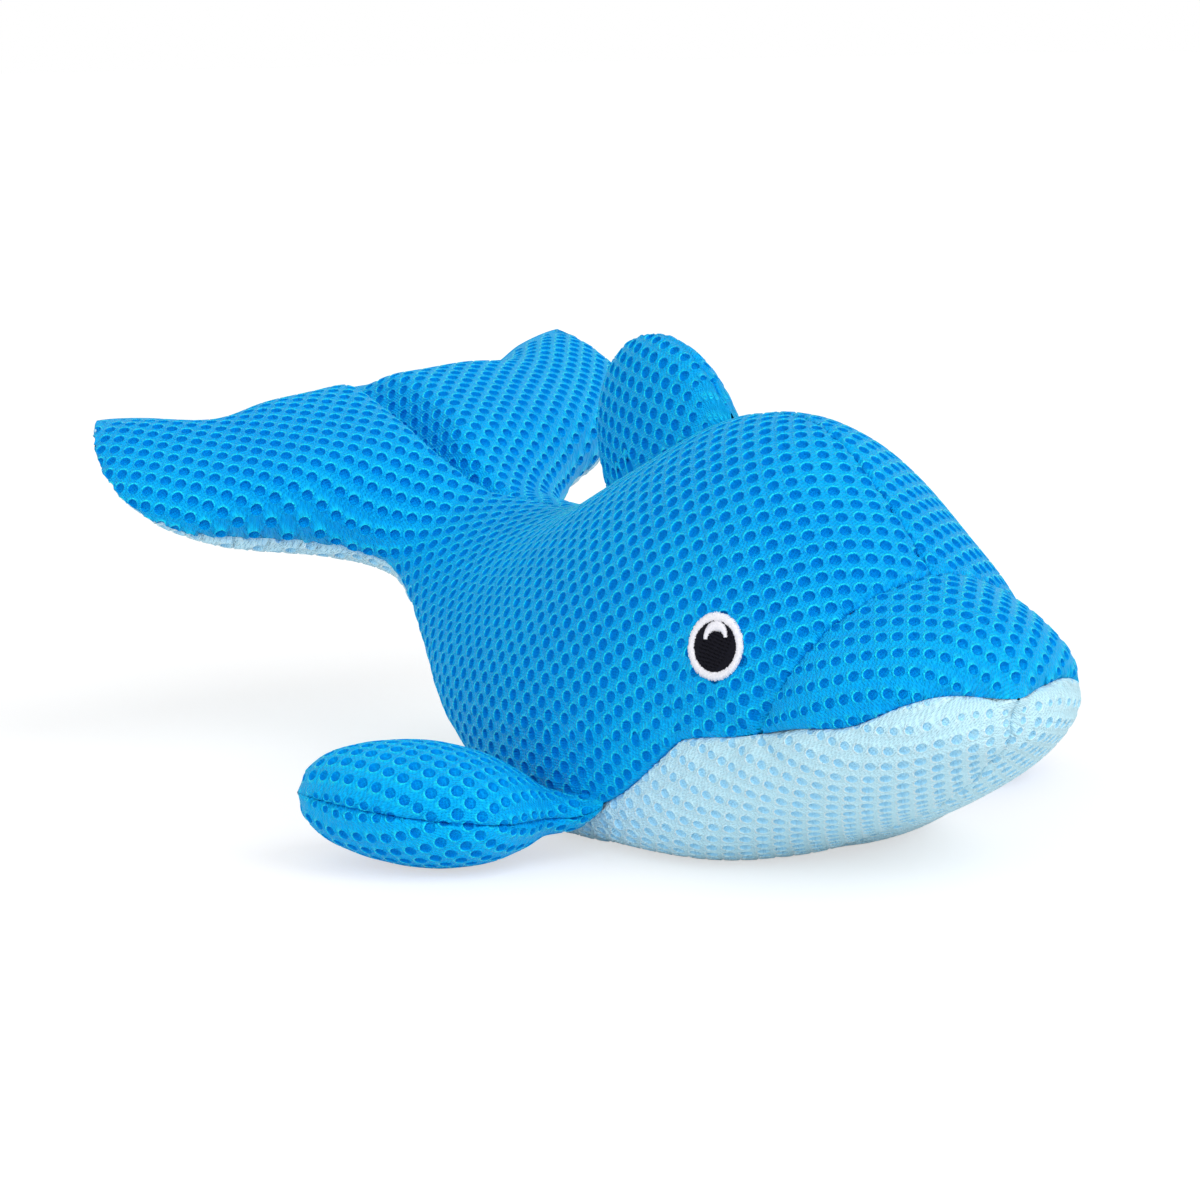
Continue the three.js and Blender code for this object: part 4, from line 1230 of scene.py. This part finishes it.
def flipper_held(v, quarter, step):
    return (quarter % 2 == 0) | (v < FLIPPER_ROOT)


def straight(first, second):
    """Two seams or two ends that keep their place."""
    return lambda share: (np.full_like(share, first), np.full_like(share, second))


def gathered(side, u, depth, reach, folds):
    """Folds that run out from a point of the side seam, where the cloth is drawn in."""
    middle, before = (body_skin(place, side * seam_angle(place)) for place in (u, u - GATHER_STEP))
    ahead = unit(before - middle)
    upward = np.cross(ahead, [0, 1, 0])

    def depth_at(points):
        offset = points - middle
        turn = np.arctan2(dot(offset, upward), dot(offset, ahead))
        fold = 0.5 + 0.5 * np.cos(folds * turn + GATHER_DRIFT * np.sin(2 * turn))
        return depth * np.exp(-((distances(offset) / reach) ** 2)) * between(GATHER_LEAST, 1, fold)

    return depth_at


body_form = Form(body_skin, body_column, body_turn, body_held, (NOSE_START, TAIL_END), BODY_COLUMNS)
beak = Panel(
    body_form,
    seams=lambda v: (-seam_angle(v), seam_angle(v)),
    ends=lambda a: (np.full_like(a, NOSE_START), crease_station(np.abs(2 * a - 1))),
    seam_edges={"first": SIDE_SEAM, "second": SIDE_SEAM, "stop": PLAIN_SEAM})
dress(cover("beak_cover", beak, blue_cloth), ["beak_panel"], ["body"], None)

COVER_END = np.array([float(TAIL_END)])
for side, label in RIGHT_LEFT:
    fluke_tip = body_skin(COVER_END, side * seam_angle(COVER_END))
    gathers = [gathered(side, *gather) for gather in GATHERS]
    flank = Panel(
        body_form,
        seams=lambda v: (np.zeros_like(v), side * seam_angle(v)),
        ends=lambda a: (crease_station(a), np.full_like(a, TAIL_END)),
        seam_edges={"first": TOP_SEAM, "second": SIDE_SEAM, "start": PLAIN_SEAM},
        gathers=gathers, widens=True)
    dress(cover(f"side_cover_{label}", flank, blue_cloth, fluke_tip),
          [f"body_panel_{label}", f"tail_panel_{label}"], ["body", "tail"], HIP)
    belly = Panel(
        body_form,
        seams=lambda v: (side * seam_angle(v), np.full_like(v, side * np.pi)),
        ends=straight(NOSE_START, TAIL_END),
        seam_edges={"first": PALE_SIDE_SEAM, "second": TOP_SEAM},
        gathers=gathers)
    dress(cover(f"belly_cover_{label}", belly, pale_cloth, fluke_tip),
          [f"belly_panel_{label}", f"tail_underside_{label}"], ["body", "tail"], HIP)


def fluke_hem():
    """Rounded edge in which the upper and lower cloth of the flukes end, from tip to tip."""
    share = np.linspace(-1, 1, HEM_POINTS)
    end = np.full(HEM_POINTS, float(TAIL_END))
    seam = polar(end, seam_angle(end))
    upper = from_polar(end, share * seam)
    lower = from_polar(end, np.where(share < 0, -1, 1) * (np.pi - (np.pi - seam) * np.abs(share)))
    outward = sum(body_skin(end, angle) - body_skin(end - HEM_STEP, angle) for angle in (upper, lower))
    bulge = unit(outward) * (HEM_BULGE * (1 - share**4))[:, None]
    turns = np.linspace(0, np.pi, HEM_SIDES)
    rows = [between(body_skin(end, upper), body_skin(end, lower), (1 - math.cos(turn)) / 2) + bulge * math.sin(turn)
            for turn in turns]
    faces = grid_faces(HEM_SIDES, HEM_POINTS)[:, ::-1]
    reach = np.cumsum(distances(np.diff(rows[0], axis=0, prepend=rows[0][:1])))
    cloth = np.concatenate([np.stack([reach, np.full(HEM_POINTS, float(k))], 1) for k in range(HEM_SIDES)])
    piece = mesh_object("fluke_hem", placed(np.concatenate(rows)), faces, blue_cloth[:1], None, cloth)
    mark(piece, "painted_light", np.zeros(len(cloth)))
    mark(piece, "seam_distance", np.full(len(cloth), 1.0))
    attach(piece, "tail")


fluke_hem()

# Dorsal fin

dorsal_form = Form(dorsal_skin, fin_column, fin_turn, dorsal_held, DORSAL_SPAN, FIN_COLUMNS)
DORSAL_BEND = (placed(DORSAL_MIDDLE), placed(DORSAL_MIDDLE + DORSAL_UP * DORSAL_THICKNESS))
for side, label in RIGHT_LEFT:
    fin = Panel(dorsal_form, seams=straight(0, side * math.radians(DORSAL_ROOT_ANGLE)), ends=straight(*DORSAL_SPAN),
                seam_edges={"first": PLAIN_SEAM})
    dress(cover(f"dorsal_cover_{label}", fin, blue_cloth),
          [f"dorsal_fin_panel_{label}"], ["body", "dorsal_fin"], DORSAL_BEND)

# Flippers

FLIPPER_BENDS = {}
for side, label in RIGHT_LEFT:
    flipper_form = Form(flipper_skin(side), fin_column, fin_turn, flipper_held, (FLIPPER_CLOTH_START, 1), FIN_COLUMNS)
    _, out, _, hinge = flipper_frame(side)
    bend = FLIPPER_BENDS[label] = tuple(placed(hinge + out * distance) for distance in FLIPPER_BEND)
    for half, first, second in (("upper", 0, np.pi), ("lower", np.pi, 2 * np.pi)):
        flipper = Panel(flipper_form, seams=straight(first, second), ends=straight(*FLIPPER_SPAN),
                        seam_edges={"first": SIDE_SEAM, "second": SIDE_SEAM})
        dress(cover(f"flipper_{half}_cover_{label}", flipper, blue_cloth),
              [f"flipper_{half}_{label}"], ["body", f"flipper_{label}"], bend)


# Embroidered eyes

def eye_point(side, forward, up, height):
    """Point of an eye, forward and up from its middle, at a height over the cloth."""
    forward, up, height = (np.asarray(value, float) for value in (forward, up, height))
    tilt = math.radians(EYE_TILT)
    forward, up = forward * math.cos(tilt) + up * math.sin(tilt), up * math.cos(tilt) - forward * math.sin(tilt)
    angle = side * math.radians(EYE_ANGLE)
    here = body_skin(EYE_STATION, angle)
    per_station = distances(body_skin(EYE_STATION + EYE_STEP, angle) - here) / EYE_STEP
    per_radian = distances(body_skin(EYE_STATION, angle + EYE_STEP) - here) / EYE_STEP
    u = EYE_STATION - forward / per_station
    turn = angle - side * up / per_radian
    inward = skin_normal(body_skin, u, turn)
    return body_skin(u, turn) - inward * height[..., None] + body_form.swell(u, turn)


def thread_mesh(paths, side):
    """Tubes along short paths of forward, up and height, one for each stitch."""
    turns = np.arange(THREAD_SIDES) * 2 * np.pi / THREAD_SIDES
    points, faces, base = [], [], 0
    for path in paths:
        path = np.asarray(path, float)
        heading = unit(np.gradient(path, axis=0))
        across = unit(np.stack([-heading[:, 1], heading[:, 0], np.zeros(len(path))], 1))
        over = np.cross(heading, across)
        ring = (path[:, None] + THREAD_RADIUS * (np.cos(turns)[None, :, None] * across[:, None]
                                                 + np.sin(turns)[None, :, None] * over[:, None]))
        points.append(eye_point(side, *ring.reshape(-1, 3).T))
        faces += list(base + grid_faces(len(path), THREAD_SIDES, closed=True)[:, ::-1])
        end = np.arange(THREAD_SIDES)
        faces += [base + end[::-1], base + end + THREAD_SIDES * (len(path) - 1)]
        base += THREAD_SIDES * len(path)
    return np.concatenate(points), faces


def stitch(start, end, low, high):
    """Arched path of one satin stitch, from cloth to cloth."""
    share = np.linspace(0, 1, STITCH_POINTS)
    line = between(np.asarray(start, float), np.asarray(end, float), share[:, None])
    return np.column_stack([line, between(low, high, np.sin(np.pi * share) ** 0.5)])


def ragged(k):
    """Small uneven length of stitch number k, by a usual formula for scattered numbers."""
    return STITCH_RAGGED * (math.sin(12.9898 * (k + 1)) * 43758.5453 % 1 - 0.5)


def ring_stitches():
    count = int(math.pi * EYE_WIDTH / THREAD_PITCH)
    for k in range(count):
        turn = 2 * math.pi * k / count
        direction = np.array([math.cos(turn), math.sin(turn)])
        inner = direction * [PUPIL_WIDTH / 2 - STITCH_OVERLAP, PUPIL_HEIGHT / 2 - STITCH_OVERLAP]
        outer = direction * [EYE_WIDTH / 2, EYE_HEIGHT / 2]
        yield stitch(inner + direction * ragged(k), outer + direction * ragged(k + OUTER_SERIES), *RING_STITCH)


def pupil_stitches():
    count = int(PUPIL_HEIGHT / THREAD_PITCH)
    for k in range(count):
        up = (k + 0.5) * PUPIL_HEIGHT / count - PUPIL_HEIGHT / 2
        half = PUPIL_WIDTH / 2 * math.sqrt(1 - (2 * up / PUPIL_HEIGHT) ** 2)
        reach = half + STITCH_OVERLAP
        ends = np.linspace(-reach - ragged(k), reach + ragged(k + END_SERIES), 4)
        ends[1:3] = np.clip(ends[1:3] + PUPIL_STAGGER * ((k % 3) - 1), -half, half)
        for first, second in zip(ends[:-1], ends[1:]):
            if second - first > STITCH_LEAST:
                yield stitch((first, up), (second, up), *PUPIL_STITCH)


def glint_stitches():
    count = int(math.radians(GLINT_END - GLINT_START) * GLINT_RADIUS / THREAD_PITCH) + 1
    for k in range(count):
        share = k / (count - 1)
        turn = math.radians(between(GLINT_START, GLINT_END, share))
        half = GLINT_WIDTH / 2 * between(GLINT_NARROW, 1, math.sin(math.pi * share)) + ragged(k) / 3
        direction = np.array([math.cos(turn), math.sin(turn)])
        middle = np.array([-GLINT_BACK, GLINT_RISE]) + direction * GLINT_RADIUS
        yield stitch(middle - direction * half, middle + direction * half, *GLINT_STITCH)


def eye_pad(side, width, height, lift):
    """Base of stitches under the threads, so that no cloth shows between them."""
    turns = np.arange(PAD_SIDES) * 2 * np.pi / PAD_SIDES
    points = [eye_point(side, [0.0], [0.0], [lift])]
    levels = ((0.45, lift), (0.85, lift), (1.0, lift * 0.6), (1.0, -PAD_DEPTH))  # shares of the size, and heights
    for share, level in levels:
        points.append(eye_point(side, share * width / 2 * np.cos(turns), share * height / 2 * np.sin(turns),
                                np.full(PAD_SIDES, level)))
    middle = [(0, 1 + i, 1 + (i + 1) % PAD_SIDES) for i in range(PAD_SIDES)]
    return np.concatenate(points), middle + list(1 + grid_faces(len(levels), PAD_SIDES, closed=True))


def embroidered(name, side, stitches, pad, material, cad_node):
    points, faces = thread_mesh(list(stitches), side)
    if pad is not None:
        pad_points, pad_faces = eye_pad(side, *pad)
        faces += [np.asarray(face) + len(points) for face in pad_faces]
        points = np.concatenate([points, pad_points])
    piece = mesh_object(name, placed(points), faces, [material])
    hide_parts(cad_node)
    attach(piece, "body")


for side, label in RIGHT_LEFT:
    ring_pad = (EYE_WIDTH - RING_MARGIN, EYE_HEIGHT - RING_MARGIN, RING_PAD_HEIGHT)
    embroidered(f"eye_ring_{label}", side, ring_stitches(), ring_pad,
                white_thread, f"eye_white_{label}")
    pupil_pad = (PUPIL_WIDTH, PUPIL_HEIGHT, PUPIL_PAD_HEIGHT)
    embroidered(f"eye_dark_{label}", side, pupil_stitches(), pupil_pad,
                black_thread, f"eye_pupil_{label}")
    embroidered(f"eye_shine_{label}", side, glint_stitches(), None,
                white_thread, f"eye_glint_{label}")


# Filling and squeaker, inside

FIBRE_VOXEL = 2.5 * MM
FIBRE_SMOOTHING = 2
FIBRE_SINK = 1.3 * MM  # it lies this far inside the CAD solid
FIBRE_LUMP = 0.6 * MM
FIBRE_LUMP_LENGTH = 4 * MM
FIBRE_WAVES = [Vector(wave) for wave in ((1.1, 0.7, 0), (0, 0.9, -0.6), (0.5, 0, 0.8))]  # that make its lumps


def fibre_core(cad_node, bodies, bend):
    """Loose filling: the CAD solid remeshed, with a lumpy surface inside it."""
    piece = bpy.data.objects.new(f"{cad_node}_fibre", frame["nodes"][cad_node].data.copy())
    bpy.context.scene.collection.objects.link(piece)
    remesh = piece.modifiers.new("remesh", "REMESH")
    remesh.mode = "VOXEL"
    remesh.voxel_size = FIBRE_VOXEL
    remesh.use_smooth_shade = True
    soften = piece.modifiers.new("soften", "SMOOTH")
    soften.iterations = FIBRE_SMOOTHING
    settled = bpy.data.meshes.new_from_object(piece.evaluated_get(bpy.context.evaluated_depsgraph_get()))
    piece.modifiers.clear()
    piece.data = settled
    for vertex in settled.vertices:
        lump = math.prod(math.sin(wave.dot(vertex.co) / FIBRE_LUMP_LENGTH) for wave in FIBRE_WAVES)
        vertex.co -= vertex.normal * (FIBRE_SINK + FIBRE_LUMP * lump)
    settled.materials.clear()
    settled.materials.append(fibre)
    dress(piece, [cad_node], bodies, bend)


bpy.context.view_layer.update()
for cad_node in ("body_filling", "tail_filling"):
    fibre_core(cad_node, ["body", "tail"], HIP)
fibre_core("dorsal_fin_filling", ["body", "dorsal_fin"], DORSAL_BEND)
for _, label in RIGHT_LEFT:
    fibre_core(f"flipper_filling_{label}", ["body", f"flipper_{label}"], FLIPPER_BENDS[label])
for cad_node in ("squeaker_bladder", "squeaker_reed"):
    mesh = frame["nodes"][cad_node].data
    mesh.materials.clear()
    mesh.materials.append(plastic)


# Camera, floor and light

azimuth = math.radians(VIEW_AZIMUTH)
elevation = math.radians(VIEW_ELEVATION)
right = np.array([math.cos(azimuth), math.sin(azimuth), 0])
ahead = np.array([-math.sin(azimuth) * math.cos(elevation), math.cos(azimuth) * math.cos(elevation),
                  -math.sin(elevation)])
aim = right * VIEW_AIM_RIGHT + np.array([0, 0, VIEW_AIM_UP])
camera_data = bpy.data.cameras.new("camera")
camera_data.lens = LENS
camera_data.sensor_width = SENSOR
camera_data.sensor_fit = "HORIZONTAL"
camera = bpy.data.objects.new("camera", camera_data)
camera.location = placed(aim - ahead * VIEW_DISTANCE)
camera.rotation_euler = Vector(ahead).to_track_quat("-Z", "Y").to_euler()
bpy.context.scene.collection.objects.link(camera)
bpy.context.scene.camera = camera


def lamp(name, place, softness, power):
    """Soft light from a far place, given from the toy to the right of the camera's view, towards it and up."""
    data = bpy.data.lights.new(name, "SUN")
    data.energy = power
    data.angle = math.radians(softness)
    made = bpy.data.objects.new(name, data)
    toward_camera = np.array([math.sin(azimuth), -math.cos(azimuth), 0])
    source = right * place[0] + toward_camera * place[1] + np.array([0, 0, place[2]])
    made.rotation_euler = Vector(-source).to_track_quat("-Z", "Y").to_euler()
    bpy.context.scene.collection.objects.link(made)


lamp("key_light", KEY_PLACE, KEY_SOFTNESS, KEY_LIGHT)
lamp("fill_light", FILL_PLACE, FILL_SOFTNESS, FILL_LIGHT)


def seen_directly(tree):
    """1 where the camera, a reflection or a clear material looks."""
    path = node(tree, "LightPath").outputs
    seen = math_node(tree, "MAXIMUM", path["Is Camera Ray"], path["Is Glossy Ray"])
    return math_node(tree, "MAXIMUM", seen, path["Is Transmission Ray"])


def chosen(tree, factor, first, second):
    choice = node(tree, "MixShader")
    for socket, value in zip(choice.inputs, (factor, first, second)):
        tree.links.new(value, socket)
    return choice.outputs["Shader"]


world = bpy.data.worlds.new("studio")
bpy.context.scene.world = world
world.use_nodes = True
tree = world.node_tree
sky = tree.nodes["Background"]
sky.inputs["Color"].default_value = (1, 1, 1, 1)
sky.inputs["Strength"].default_value = SKY_LIGHT
white = node(tree, "Background", Color=(1, 1, 1, 1), Strength=1.0)
tree.links.new(chosen(tree, seen_directly(tree), sky.outputs["Background"], white.outputs["Background"]),
               tree.nodes["World Output"].inputs["Surface"])

half = FLOOR_SIZE / 2
floor = mesh_object("floor", [(-half, -half, 0), (half, -half, 0), (half, half, 0), (-half, half, 0)],
                    [(0, 1, 2, 3)], [])
floor.location.z = -FLOOR_DROP
material, tree, surface = shader("pale_floor", FLOOR_PALE, 1.0)
paper = node(tree, "TexNoise", Scale=40.0, Detail=2.0).outputs["Fac"]
tree.links.new(ramp(tree, paper, ((0.3, FLOOR_GREY), (0.7, FLOOR_PALE))), surface.inputs["Base Color"])
surface.inputs["Specular IOR Level"].default_value = 0.0
shaded = node(tree, "BsdfDiffuse", Color=(*FLOOR_SHADED, 1))
glow = node(tree, "Emission", Strength=FLOOR_GLOW)
both = node(tree, "AddShader")
tree.links.new(shaded.outputs["BSDF"], both.inputs[0])
tree.links.new(glow.outputs["Emission"], both.inputs[1])
tree.links.new(chosen(tree, seen_directly(tree), surface.outputs["BSDF"], both.outputs["Shader"]),
               tree.nodes["Material Output"].inputs["Surface"])
floor.data.materials.append(material)

bpy.context.scene.view_settings.view_transform = "Standard"

bpy.context.view_layer.update()
